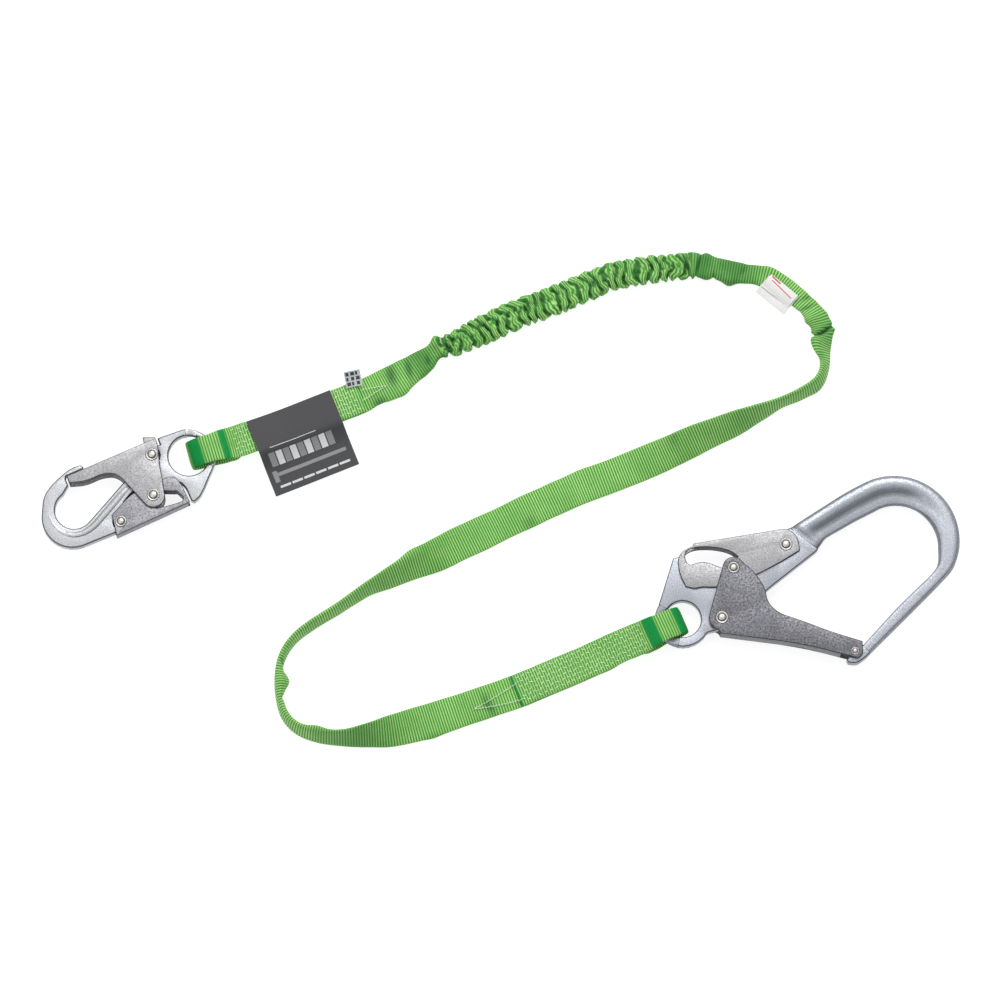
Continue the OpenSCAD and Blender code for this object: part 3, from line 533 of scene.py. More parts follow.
def build_strap(name, path, node, bands, wave_row):
    """bands is a list of (distance from the tail, half length) where the web shows saturated green."""
    rows, s = even(smooth_curve(path, 24), RING_GAP)
    place = rows[:, :3]
    turn = np.radians(rows[:, 3])
    across = np.column_stack([-np.sin(turn), np.cos(turn), np.zeros(len(s))])
    up = unit_rows(np.cross(unit_rows(np.gradient(place, axis=0)), across))
    x = superellipse(AROUND, SECTION_POWER)[0]
    rib = np.repeat(rib_height(s / RIB_PITCH)[:, None], AROUND, axis=1)
    tail = smoothstep(s, 0, 1.6)
    band = np.zeros(len(s))
    for at, half in bands:
        band = np.maximum(band, 1 - smoothstep(np.abs(s - at), half - 1.4, half + 1.4))
    edge_wave = noise_at(s / 15, s * 0 + wave_row, s * 0)
    width = rows[:, 4] * (1 + 0.02 * edge_wave)
    thick = STRAP_T * (0.55 + 0.45 * tail)
    a, c = np.meshgrid(s, x, indexing="ij")
    push = 0.32 * (rib - 0.5) * (1 - 0.3 * band[:, None]) + 0.3 * noise_at(a / 9, c, 0 * a)
    points = section_mesh(place, across, up, width, thick, push, SECTION_POWER)
    b = Builder()
    b.grid(list(points))
    strap = b.make(name, WEB, "web", "green_web", angle=None)
    attribute(strap, "rib", rib)
    attribute(strap, "band", np.repeat(band[:, None], AROUND, axis=1))
    attribute(strap, "crease_shade", np.zeros_like(rib))
    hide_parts(node)
    return strap, rows, s


# ---------- stitches ----------

STITCH_ROWS = [-9, -5.5, -2, 2, 5.5, 9]
STITCH_LENGTH = 2.7
STITCH_STEP = 4.4


def bead(b, start, end, up, half_w, half_h, sides=6, steps=5):
    """A stitch: a small rounded thread that dips into the web at both ends."""
    start, end, up = np.array(start), np.array(end), np.array(up)
    ahead = (end - start) / np.linalg.norm(end - start)
    side = np.cross(up, ahead)
    rows = []
    for i in range(steps + 1):
        t = i / steps
        swell = math.sin(math.pi * (0.08 + 0.84 * t)) ** 0.6
        centre = start + (end - start) * t + up * half_h * (2 * swell - 1.4)
        rows.append([centre + (side * math.cos(a) * half_w + up * math.sin(a) * half_h) * swell
                     for a in (2 * math.pi * k / sides for k in range(sides))])
    b.grid(rows)


def thread_line(b, points, radius, step=2.4):
    """A row of stitches along a line of points."""
    rows = even(smooth_curve(points, 12), step)[0]
    for i in range(len(rows) - 1):
        sway = 0.35 if i % 2 else -0.35
        shift = np.array([0, sway, 0])
        bead(b, rows[i][:3] + shift, rows[i][:3] * 0.12 + rows[i + 1][:3] * 0.88 - shift, (0, 0, 1), radius, radius)


def build_stitches(name, rows, s, sewn, first, v_lines, node):
    b = Builder()
    turn = np.radians(rows[:, 3])
    for index, offset in enumerate(STITCH_ROWS):
        at = first + (index % 2) * STITCH_STEP / 2
        count = 0
        while at + STITCH_LENGTH < sewn:
            sway = (0.6 if count % 2 else -0.6) + 0.5 * noise.noise(Vector((at / 3, offset, 0)))
            ends = []
            for distance, side in ((at, sway), (at + STITCH_LENGTH, -sway)):
                i = int(np.searchsorted(s, distance))
                p = rows[i]
                across = np.array([-math.sin(turn[i]), math.cos(turn[i]), 0])
                drop = 0.45 * (abs(offset) / 12) ** 4
                ends.append(p[:3] + across * (offset + side) + np.array([0, 0, STRAP_T / 2 + 0.12 - drop]))
            bead(b, ends[0], ends[1], (0, 0, 1), 0.36, 0.28)
            at += STITCH_STEP
            count += 1
    for line in v_lines:
        thread_line(b, line, 0.34)
    stitches = b.make(name, THREAD, "web", "thread")
    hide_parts(node)
    return stitches


# ---------- labels ----------

LABEL_AT, LABEL_ANGLE, LABEL_W, LABEL_T = (-144.3, 77.5), 22, 65.5, 0.9
LABEL_CURVE = [[-29, 0.4, 0.2], [-19, 0.9, 0.3], [-9, 1.9, 0.5], [-2, 4.4, 0.8], [3.4, 7.2, 1], [10, 7.7, 1],
               [29, 7.5, 1]]
LABEL_RISE = [[-32, 5], [-21, 2.4], [-9, 0.6], [2, 0], [32, 0]]


def label_point(a, c, lift):
    """Point on the label: a along its long side, c across it, lift above its underside."""
    curve, rise = LABEL_LINES
    height = np.interp(c, curve[:, 0], curve[:, 1])
    share = np.interp(c, curve[:, 0], curve[:, 2])
    bend = 0.35 * math.sin((a + 10) / 13) * (1 - (c + 29) / 58)
    z = height + share * np.interp(a, rise[:, 0], rise[:, 1]) + 0.3 + bend * 0.5 + lift
    t = math.radians(LABEL_ANGLE)
    return (LABEL_AT[0] + a * math.cos(t) - c * math.sin(t), LABEL_AT[1] + a * math.sin(t) + c * math.cos(t), z)


LABEL_LINES = (smooth_curve(LABEL_CURVE, 12), smooth_curve(LABEL_RISE, 12))


def sheet_patch(b, along, across, point, low, high):
    """A thin closed patch over point(a, c, lift), for ranges along and across."""
    columns = [np.linspace(along[0], along[1], along[2]), np.linspace(across[0], across[1], across[2])]
    rows = []
    for a in columns[0]:
        top = [point(a, c, high) for c in columns[1]]
        under = [point(a, c, low) for c in columns[1][::-1]]
        rows.append(top + under)
    b.grid(rows)


def build_label():
    b = Builder()
    sheet_patch(b, (-LABEL_W / 2, LABEL_W / 2, 40), (-29, 29, 40), label_point, 0, LABEL_T)
    label = b.make("id_label_sheet", LABEL, "web", "grey_label")
    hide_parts("id_label")
    grey, white = Builder(), Builder()
    raised = LABEL_T + 0.07
    for a0, a1, c0, c1 in ((-27, 28, -15.9, -13.3), (-29, -25.5, -20, -11.5)):
        sheet_patch(grey, (a0, a1, 30), (c0, c1, 4), label_point, LABEL_T, raised)
    sheet_patch(white, (-24, 12, 30), (4.6, 5.1, 4), label_point, LABEL_T, raised)
    for i in range(9):
        a0 = -27 + 5.6 * i
        sheet_patch(white if i % 2 else grey, (a0, a0 + 4.7, 5), (-8.4, 1.2, 8), label_point, LABEL_T, raised)
    for i in range(6):
        a0 = -27 + 9.3 * i
        sheet_patch(white, (a0, a0 + 8.1, 8), (-24.6, -22.9, 3), label_point, LABEL_T, raised)
    grey_print = grey.make("id_label_grey_print", PRINT_GREY, "web", "grey_label")
    white_print = white.make("id_label_white_print", PRINT_WHITE, "web", "grey_label")
    return [label, grey_print, white_print]


TAG_AT, TAG_ANGLE, TAG_TILT = (-107, 121.5, 7.9), 12, 18
FOLD_AT, FOLD_ANGLE, FOLD_W, FOLD_D = (204, 189, 9.1), -40, 27, 16


def placed(at, angle, tilt=0):
    """A function that puts a point from a tag's own frame into the row frame."""
    t, k = math.radians(angle), math.radians(tilt)

    def put(x, y, z):
        y, z = y * math.cos(k) - z * math.sin(k), y * math.sin(k) + z * math.cos(k)
        return (at[0] + x * math.cos(t) - y * math.sin(t), at[1] + x * math.sin(t) + y * math.cos(t), at[2] + z)

    return put


def build_batch_tag():
    """Small silver tag, slightly curled, with rows of plain blocks."""
    put = placed(TAG_AT, TAG_ANGLE, TAG_TILT)

    def point(a, c, lift):
        return put(a, c, 0.045 * (a * a) * 0.35 + 0.012 * c * c + lift)

    b = Builder()
    sheet_patch(b, (-6, 6, 14), (-2, 10, 14), point, 0, 0.5)
    tag = b.make("batch_tag_sheet", SILVER_TAG, "web", "silver_tag")
    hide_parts("batch_tag")
    dark = Builder()
    for row, c0 in enumerate((-1.0, 2.7, 6.4)):
        for column, a0 in enumerate((-5.0, -1.4, 2.2)):
            width = (2.8, 1.6, 2.3)[(row + column) % 3]
            sheet_patch(dark, (a0, a0 + width, 5), (c0, c0 + 2.6, 5), point, 0.5, 0.56)
    print_ = dark.make("batch_tag_print", LABEL, "web", "silver_tag")
    return [tag, print_]


def build_fold_tag():
    """White woven tag, folded over on itself, with frayed ends and one red stripe."""
    put = placed(FOLD_AT, FOLD_ANGLE)
    half_w, half_d = FOLD_W / 2, FOLD_D / 2

    def lower(a, c, lift):
        fray = 0.5 * math.sin(a * 2.9) * max(0, (abs(a) - half_w + 2) / 2)
        return put(a, c - 1.5 + fray * 0.4, 0.5 * math.sin(a / 5) - 0.10 * (c < -4) * (c + 4) ** 2 * 0.3 + lift)

    def upper(a, c, lift):
        arch = 1.6 * (1 - ((c - 1) / half_d) ** 2) + 0.4 * math.sin(a / 6 + 1)
        return put(a * 0.93, c * 0.72 + 2.2, 0.8 + max(0, arch) + lift)

    b = Builder()
    sheet_patch(b, (-half_w, half_w, 34), (-half_d, half_d, 20), lower, 0, 0.35)
    sheet_patch(b, (-half_w, half_w, 34), (-half_d, half_d, 20), upper, 0, 0.35)
    tag = b.make("inspection_tag_sheet", WHITE_TAG, "web", "white_tag")
    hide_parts("inspection_tag")
    red = Builder()

    def stripe(a, c, lift):
        return upper(a, c - 0.12 * a, lift)

    sheet_patch(red, (-10, 11, 30), (1.6, 2.6, 4), stripe, 0.35, 0.42)
    sheet_patch(red, (-12, -3, 16), (4.6, 6.2, 4), stripe, 0.35, 0.42)
    print_ = red.make("inspection_tag_stripe", PRINT_RED, "web", "white_tag")
    return [tag, print_]


# ---------- metal plates cut from the frame's own outlines ----------

def loops_at(node, height, keep=None, near=None):
    """Closed outlines where a flat cut meets a CAD node, in millimetres. keep is a point and a direction:
    only what lies ahead of that line stays, closed along it. near is a point and a reach: only whole
    outlines within that reach stay."""
    bm = bmesh.new()
    bm.from_mesh(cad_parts[node].data)
    bmesh.ops.remove_doubles(bm, verts=bm.verts, dist=1e-6)
    if keep:
        (px, py), (dx, dy) = keep
        bmesh.ops.bisect_plane(bm, geom=bm.verts[:] + bm.edges[:] + bm.faces[:], dist=1e-7,
                               plane_co=(px * MM, py * MM, 0), plane_no=(dx, dy, 0), clear_inner=True)
    cut = bmesh.ops.bisect_plane(bm, geom=bm.verts[:] + bm.edges[:] + bm.faces[:], dist=1e-7,
                                 plane_co=(0, 0, height * MM), plane_no=(0, 0, 1))
    edges = [e for e in cut["geom_cut"] if isinstance(e, bmesh.types.BMEdge)]
    places, links = [], []
    for e in edges:
        ends = []
        for v in e.verts:
            p = (v.co.x / MM, v.co.y / MM)
            found = next((i for i, q in enumerate(places) if math.dist(p, q) < 0.03), len(places))
            if found == len(places):
                places.append(p)
                links.append([])
            ends.append(found)
        if ends[0] != ends[1]:
            links[ends[0]].append(ends[1])
            links[ends[1]].append(ends[0])
    bm.free()
    loops, seen = [], set()
    for first in sorted(range(len(places)), key=lambda i: (len(links[i]) != 1, places[i])):
        loop, here = [], None if first in seen else first
        while here is not None:
            seen.add(here)
            loop.append(places[here])
            here = next((i for i in links[here] if i not in seen), None)
        loops.append(straighten(loop))
    loops = [q for q in loops if len(q) > 2]
    if near:
        loops = [q for q in loops if max(math.dist(p, near[0]) for p in q) < near[1]]
    return loops


def straighten(loop):
    """Drops the points that lie on a straight stretch."""
    kept = []
    n = len(loop)
    for i in range(n):
        a, b, c = loop[i - 1], loop[i], loop[(i + 1) % n]
        u, v = (b[0] - a[0], b[1] - a[1]), (c[0] - b[0], c[1] - b[1])
        if math.hypot(*u) < 1e-4:
            continue
        turn = abs(u[0] * v[1] - u[1] * v[0]) / max(1e-12, math.hypot(*u) * math.hypot(*v))
        if turn > 0.004:
            kept.append(b)
    return kept


def area(loop):
    return 0.5 * sum(a[0] * b[1] - b[0] * a[1] for a, b in zip(loop, loop[1:] + loop[:1]))


def inset(loop, by):
    """The loop moved to its left by a distance, mitred at the corners."""
    out = []
    n = len(loop)
    for i in range(n):
        a, b, c = (np.array(q) for q in (loop[i - 1], loop[i], loop[(i + 1) % n]))
        u, v = (b - a) / np.linalg.norm(b - a), (c - b) / np.linalg.norm(c - b)
        m = np.array([-u[1] - v[1], u[0] + v[0]])
        size = max(np.linalg.norm(m), 0.4)
        m = m / size
        out.append(tuple(b + m * by * min(2 / size, 2.0)))
    return out


def soften(loop, limit=42, rounds=2):
    """The loop with its gentle corners cut round; corners sharper than the limit, in degrees, stay."""
    for _ in range(rounds):
        out = []
        for a, b, c in zip(loop[-1:] + loop[:-1], loop, loop[1:] + loop[:1]):
            u, v = (b[0] - a[0], b[1] - a[1]), (c[0] - b[0], c[1] - b[1])
            turn = abs(math.degrees(math.atan2(u[0] * v[1] - u[1] * v[0], u[0] * v[0] + u[1] * v[1])))
            lu, lv = math.hypot(*u), math.hypot(*v)
            if turn > limit or min(lu, lv) < 0.8:
                out.append(b)
                continue
            cut = 0.25 * min(lu, lv)
            out.append((b[0] - u[0] / lu * cut, b[1] - u[1] / lu * cut))
            out.append((b[0] + v[0] / lv * cut, b[1] + v[1] / lv * cut))
        loop = out
    return loop


def fill(rings):
    """Points and triangles over the area inside an odd number of the rings."""
    points, edges = [], []
    for ring in rings:
        base, n = len(points), len(ring)
        points += [Vector(q) for q in ring]
        edges += [(base + i, base + (i + 1) % n) for i in range(n)]
    found, _, faces, *_ = delaunay_2d_cdt(points, edges, [], 0, 1e-5)
    kept = []
    for face in faces:
        middle = sum((found[i] for i in face), Vector((0, 0))) / len(face)
        if sum(inside(middle, ring) for ring in rings) % 2:
            kept.append(tuple(face))
    return found, kept


def add_plate(b, loops, low, high, bevel, rounded=(True, True), turns=4):
    """A flat plate with holes; rounded says if its lower and its upper edges are."""
    loops = [soften(q) for q in loops]
    ordered = []
    for i, q in enumerate(loops):
        outside = any(i != k and abs(area(loops[k])) > abs(area(q)) and inside(q[0], loops[k])
                      for k in range(len(loops)))
        ordered.append(q if (area(q) > 0) != outside else q[::-1])
    angles = [math.radians(90 * k / turns) for k in range(turns + 1)]
    under = [(low + bevel - bevel * math.sin(a), bevel * (1 - math.cos(a))) for a in reversed(angles)]
    over = [(high - bevel + bevel * math.sin(a), bevel * (1 - math.cos(a))) for a in angles]
    levels = (under if rounded[0] else [(low, 0)]) + (over if rounded[1] else [(high, 0)])
    # Painted shade: full on the rounded edges, half on the straight side wall, none on the flat faces.
    dark = [0.5 if by < bevel * 0.05 else 1.0 if by < bevel * 0.75 else 0.0 for z, by in levels]
    rings = [[inset(loop, by) for z, by in levels] for loop in ordered]
    for ring in rings:
        rows = [[(x, y, z) for x, y in level] for level, (z, by) in zip(ring, levels)]
        b.grid(rows, caps=False, edge_shade=[d for d, row in zip(dark, rows) for _ in row])
    for level in (0, -1):
        found, faces = fill([ring[level] for ring in rings])
        b.add([(x, y, levels[level][0]) for x, y in found], faces)


def inside(p, loop):
    """True if a point is inside a closed loop."""
    hit = False
    for (x0, y0), (x1, y1) in zip(loop, loop[1:] + loop[:1]):
        if (y0 > p[1]) != (y1 > p[1]) and p[0] < x0 + (p[1] - y0) * (x1 - x0) / (y1 - y0):
            hit = not hit
    return hit


def weld(obj, angle=35):
    """Joins the seams of a built piece and keeps its corners crisp."""
    bm = bmesh.new()
    bm.from_mesh(obj.data)
    bmesh.ops.remove_doubles(bm, verts=bm.verts, dist=2e-6)
    bmesh.ops.recalc_face_normals(bm, faces=bm.faces)
    bm.to_mesh(obj.data)
    bm.free()
    for poly in obj.data.polygons:
        poly.use_smooth = True
    obj.data.set_sharp_from_angle(angle=math.radians(angle))


def torus(b, centre, mean_r, bar_r, around=96, section=20):
    rows = []
    for i in range(around + 1):
        t = 2 * math.pi * i / around
        rows.append([(centre[0] + (mean_r + bar_r * math.cos(k)) * math.cos(t),
                      centre[1] + (mean_r + bar_r * math.cos(k)) * math.sin(t),
                      centre[2] + bar_r * math.sin(k))
                     for k in (2 * math.pi * j / section for j in range(section))])
    b.grid(rows, caps=False)


def in_hook(eye, angle, p):
    """A point of a hook's own frame, in the row frame."""
    t = math.radians(angle)
    return (eye[0] + p[0] * math.cos(t) - p[1] * math.sin(t), eye[1] + p[0] * math.sin(t) + p[1] * math.cos(t))


def turned(angle, d):
    t = math.radians(angle)
    return (d[0] * math.cos(t) - d[1] * math.sin(t), d[0] * math.sin(t) + d[1] * math.cos(t))


def middle_of(node):
    """Middle of a CAD node seen from above."""
    low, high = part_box(node)
    return ((low.x + high.x) / 2 / MM, (low.y + high.y) / 2 / MM)


def arc(centre, r, start, end, steps=8):
    return [(centre[0] + r * math.cos(math.radians(start + (end - start) * i / steps)),
             centre[1] + r * math.sin(math.radians(start + (end - start) * i / steps))) for i in range(steps + 1)]


# ---------- hook bodies ----------

SPRING_RECESS_R = 5.6
RECESS_FLOOR = 0.4
NOSE_HALF = 6
# Share of the way from the bow's outer edge to its inner one, and share of the half thickness.
FLAT_PROFILE = [(0, 0.0), (0.0, 0.42), (0.02, 0.66), (0.07, 0.86), (0.15, 0.97), (0.27, 1.0), (0.4, 1.0), (0.5, 1.0),
                (0.6, 1.0), (0.72, 1.0), (0.86, 0.97), (0.93, 0.86), (0.98, 0.66), (1.0, 0.0)]
DISH_PROFILE = [(0, 0.0), (0.0, 0.42), (0.02, 0.66), (0.07, 0.86), (0.14, 0.97), (0.24, 1.0), (0.36, 0.97),
                (0.45, 0.86),
                (0.55, 0.66), (0.64, 0.50), (0.74, 0.44), (0.90, 0.44), (0.97, 0.36), (1.0, 0.0)]
# Stations along the rebar hook's bow, from the ridge to the nose: outer point, inner point, half thickness, dish.
REBAR_STATIONS = (
    [((92.5, 43.5), (107.7, 22.3), 4.7, 0.0), ((95.8, 43.9), (110.7, 24.1), 4.9, 0.1), ((98.6, 44.7),
     (113.6, 26.4), 6.3, 0.5),
     ((103, 46.2), (118, 29.4), 6.5, 0.9), ((122, 52), (130, 32.5), 6.5, 1.0), ((139, 57), (142, 35.5), 6.5, 1.0)]
    + [(o, i, 6.5, d) for o, i, d in zip(arc((165, 14), 47.7, 104, -28, 11), arc((165, 9), 30.6, 107, -18, 11),
                                         (1, 1, 1, 1, 1, 0.85, 0.5, 0.2, 0.08, 0, 0, 0))]
    + [((200, -18), (190.5, -11.5), 6.4, 0), ((189, -25.3), (184, -17.6), 6.2, 0), ((176, -32.8),
       (171.5, -24.4), 6.1, 0),
       ((158, -42.9), (152.5, -34.8), 6.0, 0), ((138, -54), (133, -46.8), 5.9, 0), ((121, -63.4),
       (119, -55.6), 5.8, 0)]
)
# Raised round bar down the shank and along the inside of the snap hook's bow: [x, y, half width, half height].
SNAP_BAR = [
    [-43, -4.6, 4.2, 4.4], [-52, -6.4, 4.9, 5.3], [-62, -11.6, 5.0, 5.6], [-74, -18.0, 5.0, 5.7],
    [-84, -23.0, 4.8, 5.7],
    [-92, -24.8, 4.3, 5.6], [-100, -23.4, 4.0, 5.5], [-107.6, -17.4, 3.8, 5.2], [-111.0, -8.5, 3.5, 5.0],
    [-110.4, 0.5, 3.0, 4.8], [-107, 7.5, 2.4, 4.2],
]


def add_bow(b, eye, angle, stations, steps=10):
    """Forged bow skinned through its stations."""
    rows = smooth_curve([[*o, *i, h, d] for o, i, h, d in stations], steps)
    skin, dark = [], []
    for ox, oy, ix, iy, half, dish in rows:
        share = [(f + (g - f) * dish, p + (q - p) * dish) for (f, p), (g, q) in zip(FLAT_PROFILE, DISH_PROFILE)]
        share = share + [(f, -h) for f, h in share[-2:0:-1]]
        skin.append([(*in_hook(eye, angle, (ox + (ix - ox) * f, oy + (iy - oy) * f)), MID_Z + half * h)
                     for f, h in share])
        # Painted shade along the bow's outer and inner edges.
        dark += [float(1 - smoothstep(min(f, 1 - f), 0.005, 0.075)) for f, h in share]
    b.grid(skin, edge_shade=dark)


def add_ring_end(b, eye, angle, hole, bar_r, start, end):
    """Tapers the plate into the eye's round bar between two directions of the hook's own frame."""
    stations = []
    for i in range(9):
        ease = 0.5 + 0.5 * math.cos(math.pi * i / 8)
        a = math.radians(start + (end - start) * i / 8)
        outer, inner = ((r * math.cos(a), r * math.sin(a)) for r in (hole + 2 * bar_r, hole))
        stations.append((outer, inner, bar_r + (BODY_HALF - 0.1 - bar_r) * ease, 0))
    add_bow(b, eye, angle, stations, 3)


def add_frame_plate(b, node, rivets, bevel, keep=None, near=None):
    """The hook's plate, with a recess on its upper face round each spring's rivet."""
    loops = loops_at(node, MID_Z - 4, keep, near)
    add_plate(b, loops, MID_Z - BODY_HALF, MID_Z - RECESS_FLOOR, bevel, (True, False))
    centres = [middle_of(rivet) for rivet in rivets]
    kept = [q for q in loops if not any(math.dist(q[0], c) < SPRING_RECESS_R for c in centres)]
    kept += [arc(c, SPRING_RECESS_R, 0, 345, 23) for c in centres]
    add_plate(b, kept, MID_Z - RECESS_FLOOR, MID_Z + BODY_HALF, bevel, (False, True))


def build_rebar_body():
    eye, angle, node = REBAR_EYE, REBAR_ANGLE, "rebar_hook_body"
    b = Builder()
    ridge = (in_hook(eye, angle, (97, 40)), turned(angle, (-0.80, -0.60)))
    add_frame_plate(b, node, ("rebar_gate_rivet", "rebar_lever_rivet"), 0.9, ridge, (eye, 125))
    nose = (in_hook(eye, angle, (123, -58)), turned(angle, (-0.87, -0.49)))
    nose_only = (in_hook(eye, angle, (115, -61)), 16)
    add_plate(b, loops_at(node, MID_Z + 4, nose, nose_only), MID_Z - NOSE_HALF, MID_Z + NOSE_HALF, 1.0)
    add_bow(b, eye, angle, REBAR_STATIONS)
    torus(b, (*eye, MID_Z), REBAR_HOLE + REBAR_BAR_R, REBAR_BAR_R)
    add_ring_end(b, eye, angle, REBAR_HOLE, REBAR_BAR_R, 128, 158)
    add_ring_end(b, eye, angle, REBAR_HOLE, REBAR_BAR_R, 247, 217)
    body = b.make("rebar_forged_body", FORGED, "rebar_hook", "forged_steel")
    weld(body)
    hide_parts(node)


def build_snap_body():
    eye, angle, node = SNAP_EYE, SNAP_ANGLE, "snap_hook_body"
    b = Builder()
    add_frame_plate(b, node, ("snap_gate_rivet", "snap_lever_rivet"), 1.1)
    rows = smooth_curve(SNAP_BAR, 8)
    ahead = unit_rows(np.gradient(rows[:, :2], axis=0))
    skin = []
    for (x, y, half_w, half_h), (dx, dy) in zip(rows, ahead):
        ring = []
        for k in range(24):
            a = 2 * math.pi * k / 24
            side = half_w * math.cos(a)
            ring.append((*in_hook(eye, angle, (x - dy * side, y + dx * side)), MID_Z + half_h * math.sin(a)))
        skin.append(ring)
    b.grid(skin)
    torus(b, (*eye, MID_Z), SNAP_HOLE + SNAP_BAR_R, SNAP_BAR_R)
    add_ring_end(b, eye, angle, SNAP_HOLE, SNAP_BAR_R, 82, 50)
    add_ring_end(b, eye, angle, SNAP_HOLE, SNAP_BAR_R, -50, -18)
    body = b.make("snap_forged_body", BRIGHT_FORGED, "snap_hook", "forged_steel")
    weld(body)
    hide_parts(node)


# ---------- gates, levers and rivets ----------

# Inner and outer faces of each channel's plates from mid height, and where its rivet heads start.
GATE_INNER, GATE_OUTER, GATE_FACE = 7.2, 8.8, 8.9
LEVER_INNER, LEVER_OUTER, LEVER_FACE = 5.2, 6.8, 6.9

def build_channel(name, node, body, material, slot, inner, outer, bevel=0.7):
    """A stamped channel: a plate on each side of the hook, joined by its spine."""
    b = Builder()
    plates = loops_at(node, MID_Z + (inner + outer) / 2)
    add_plate(b, plates, MID_Z + inner, MID_Z + outer, bevel)
    add_plate(b, plates, MID_Z - outer, MID_Z - inner, bevel)
    add_plate(b, loops_at(node, MID_Z), MID_Z - outer + 0.3, MID_Z + outer - 0.3, bevel)
    piece = b.make(name, material, body, slot)
    weld(piece)
    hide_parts(node)
    return piece


RIVET_PROFILE = [(0, 1.0), (0.25, 0.97), (0.42, 0.88), (0.55, 0.7), (0.61, 0.45), (0.64, 0.22), (0.72, 0.2),
                 (0.78, 0.34),
                 (0.88, 0.38), (0.96, 0.28), (1.0, 0.0)]


def build_rivet(node, body, face):
    """Domed rivet heads on both faces, each in its own turned ring, on one shaft, with painted shade in the groove
    round the dome and on the outer rim.
    """
    low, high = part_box(node)
    cx, cy = middle_of(node)
    r, top = (high.x - low.x) / 2 / MM, high.z / MM
    rise = top - MID_Z - face
    profile = [(r * f, face + rise * h) for f, h in RIVET_PROFILE]
    profile += [(r * 0.6, face), (r * 0.6, -face)]
    profile += [(x, -z) for x, z in profile[len(RIVET_PROFILE) - 1::-1]]
    b = Builder()
    rows, dark = [], []
    for x, z in profile:
        rows.append([(cx + max(x, 0.01) * math.cos(t), cy + max(x, 0.01) * math.sin(t), MID_Z + z)
                     for t in (2 * math.pi * k / 40 for k in range(40))])
        share = x / r
        # Painted shade in the groove round the dome and on the head's outer rim.
        dark += [1.0 if 0.6 < share < 0.76 or share > 0.93 else 0.0] * 40
    b.grid(rows, edge_shade=dark)
    piece = b.make(node + "_turned", RIVET, body, "rivet_steel")
    weld(piece, 50)
    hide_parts(node)


def build_hooks():
    build_rebar_body()
    build_snap_body()
    build_channel("snap_gate_channel", "snap_gate", "snap_gate", PLATE, "gate_steel", GATE_INNER, GATE_OUTER)
    build_channel("snap_lever_channel", "snap_lock_lever", "snap_lever", GREY_PLATE, "dark_steel", LEVER_INNER,
                  LEVER_OUTER)
    build_channel("rebar_gate_channel", "rebar_gate", "rebar_gate", DARK_PLATE, "dark_steel", GATE_INNER, GATE_OUTER)
    build_channel("rebar_lever_channel", "rebar_lock_lever", "rebar_lever", PLATE, "gate_steel", LEVER_INNER,
                  LEVER_OUTER)
    for node, body, face in (
        ("snap_gate_rivet", "snap_hook", GATE_FACE), ("snap_lever_rivet", "snap_hook", LEVER_FACE),
        ("snap_lock_pin", "snap_gate", GATE_FACE),
        ("rebar_gate_rivet", "rebar_hook", GATE_FACE), ("rebar_lever_rivet", "rebar_hook", LEVER_FACE),
        ("rebar_lock_pin", "rebar_gate", GATE_FACE), ("rebar_tip_pin", "rebar_gate", GATE_FACE),
    ):
        build_rivet(node, body, face)
    for node in ("snap_gate_spring", "snap_lever_spring", "rebar_gate_spring", "rebar_lever_spring"):
        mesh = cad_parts[node].data
        mesh.materials.clear()
        mesh.materials.append(SPRING)


# ---------- lights, floor and camera ----------

VIEW_CENTRE, VIEW_WIDTH, ELEVATION, LENS, SENSOR = (0, 33, 16.5), 730, 79, 300, 36


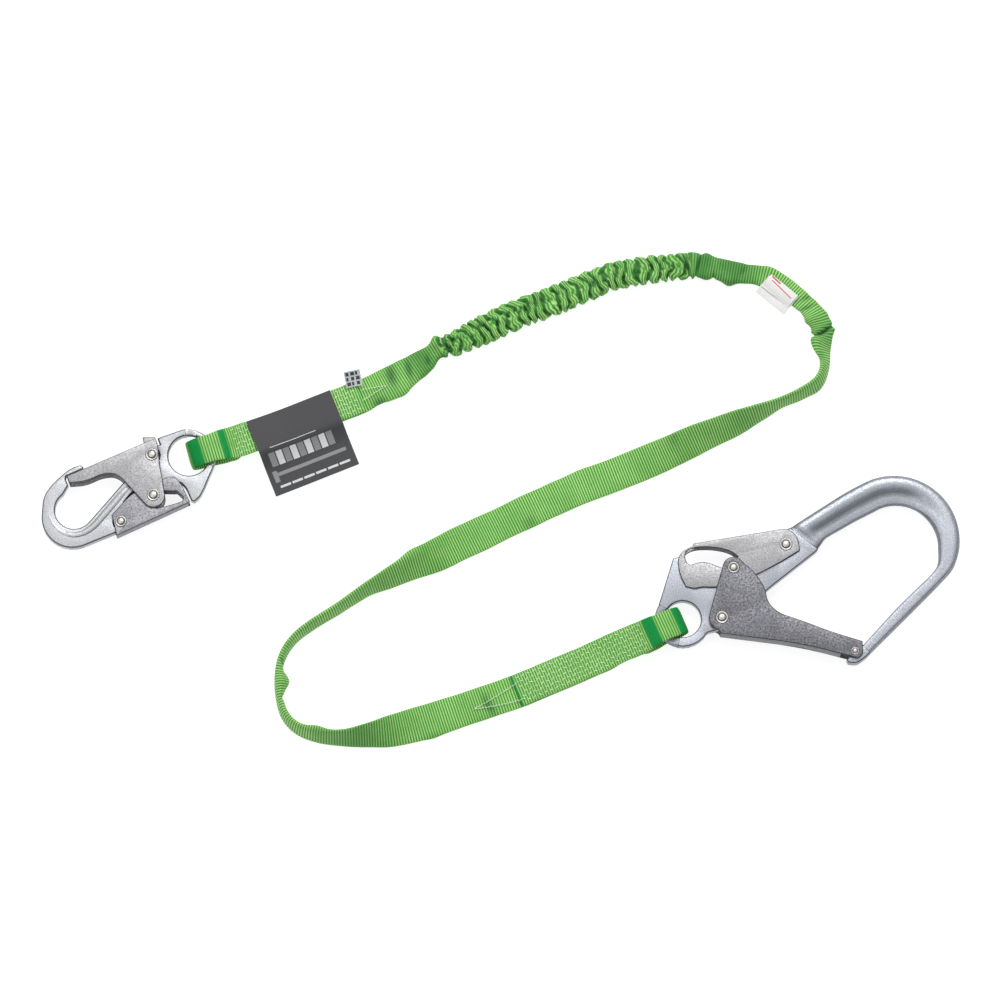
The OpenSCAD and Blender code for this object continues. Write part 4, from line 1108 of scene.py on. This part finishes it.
def build_stage():
    bpy.ops.mesh.primitive_plane_add(size=24, location=(0, 0, -0.0002))
    floor = bpy.context.object
    floor.name = "floor"
    s = Surface("floor_white", 0.9)
    s.shader.inputs["Emission Color"].default_value = (1, 1, 1, 1)
    s.shader.inputs["Emission Strength"].default_value = 0.80
    floor.data.materials.append(s.colour((0.40, 0.40, 0.40)))

    world = bpy.data.worlds.new("studio")
    bpy.context.scene.world = world
    world.use_nodes = True
    tree = world.node_tree
    coords = tree.nodes.new("ShaderNodeTexCoord")
    dot = tree.nodes.new("ShaderNodeVectorMath")
    dot.operation = "DOT_PRODUCT"
    dot.inputs[1].default_value = (0.0, 0.42, 0.91)
    tree.links.new(coords.outputs["Generated"], dot.inputs[0])
    ramp = tree.nodes.new("ShaderNodeValToRGB")
    ramp.color_ramp.interpolation = "EASE"
    ramp.color_ramp.elements[0].position, ramp.color_ramp.elements[0].color = 0.18, (0.18, 0.19, 0.21, 1)
    ramp.color_ramp.elements[1].position, ramp.color_ramp.elements[1].color = 0.85, (1.0, 1.0, 1.0, 1)
    tree.links.new(dot.outputs["Value"], ramp.inputs["Fac"])
    background = tree.nodes["Background"]
    background.inputs["Strength"].default_value = 0.9
    tree.links.new(ramp.outputs["Color"], background.inputs["Color"])

    add_area("key", (0.15, 1.0, 1.5), 1.1, 14)
    add_area("fill", (-0.9, -0.6, 1.5), 1.2, 4)

    data = bpy.data.cameras.new("camera")
    data.lens, data.sensor_width = LENS, SENSOR
    data.clip_end = 200
    camera = bpy.data.objects.new("camera", data)
    bpy.context.scene.collection.objects.link(camera)
    target = Vector(VIEW_CENTRE) * MM
    back = Vector((0, -math.cos(math.radians(ELEVATION)), math.sin(math.radians(ELEVATION))))
    camera.location = target + back * (VIEW_WIDTH * MM * LENS / SENSOR)
    camera.rotation_euler = (-back).to_track_quat("-Z", "Y").to_euler()
    bpy.context.scene.camera = camera
    bpy.context.scene.view_settings.view_transform = "Standard"


def add_area(name, place, size, power):
    data = bpy.data.lights.new(name, "AREA")
    data.size, data.energy = size, power
    light = bpy.data.objects.new(name, data)
    light.location = place
    light.rotation_euler = (-Vector(place)).to_track_quat("-Z", "Y").to_euler()
    light.visible_camera = False
    bpy.context.scene.collection.objects.link(light)


# ---------- assembly ----------

build_stage()
web, line, web_s = build_web()
snap_strap, snap_rows, snap_s = build_strap("snap_eye_strap", SNAP_STRAP, "snap_eye_loop", [(109, 2.8), (131, 5)], 3)
rebar_strap, rebar_rows, rebar_s = build_strap("rebar_eye_strap", REBAR_STRAP, "rebar_eye_loop",
                                               [(0, 1.5), (110, 4.5), (133, 4.5)], 8)
SNAP_V = [[(-101.5, 117.2, 7.2), (-92, 119.2, 5.4), (-83, 120.7, 4.8)], [(-100.7, 109, 7.2), (-92, 115, 5.4),
          (-83, 120.7, 4.8)]]
REBAR_V = [[(14, -99.5, 6.4), (-2, -110, 4.8), (-18.7, -119.7, 4.6)], [(19, -112, 6.4), (1, -116.5, 4.8),
           (-18.7, -119.7, 4.6)]]
snap_stitches = build_stitches("snap_end_stitches", snap_rows, snap_s, 102, 3, SNAP_V, "snap_end_stitching")
rebar_stitches = build_stitches("rebar_end_stitches", rebar_rows, rebar_s, 103, 3, REBAR_V, "rebar_end_stitching")
labels = build_label() + build_batch_tag() + build_fold_tag()
path = [tuple(p * MM) for p in line[::16, :3]]
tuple(path[0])
build_hooks()
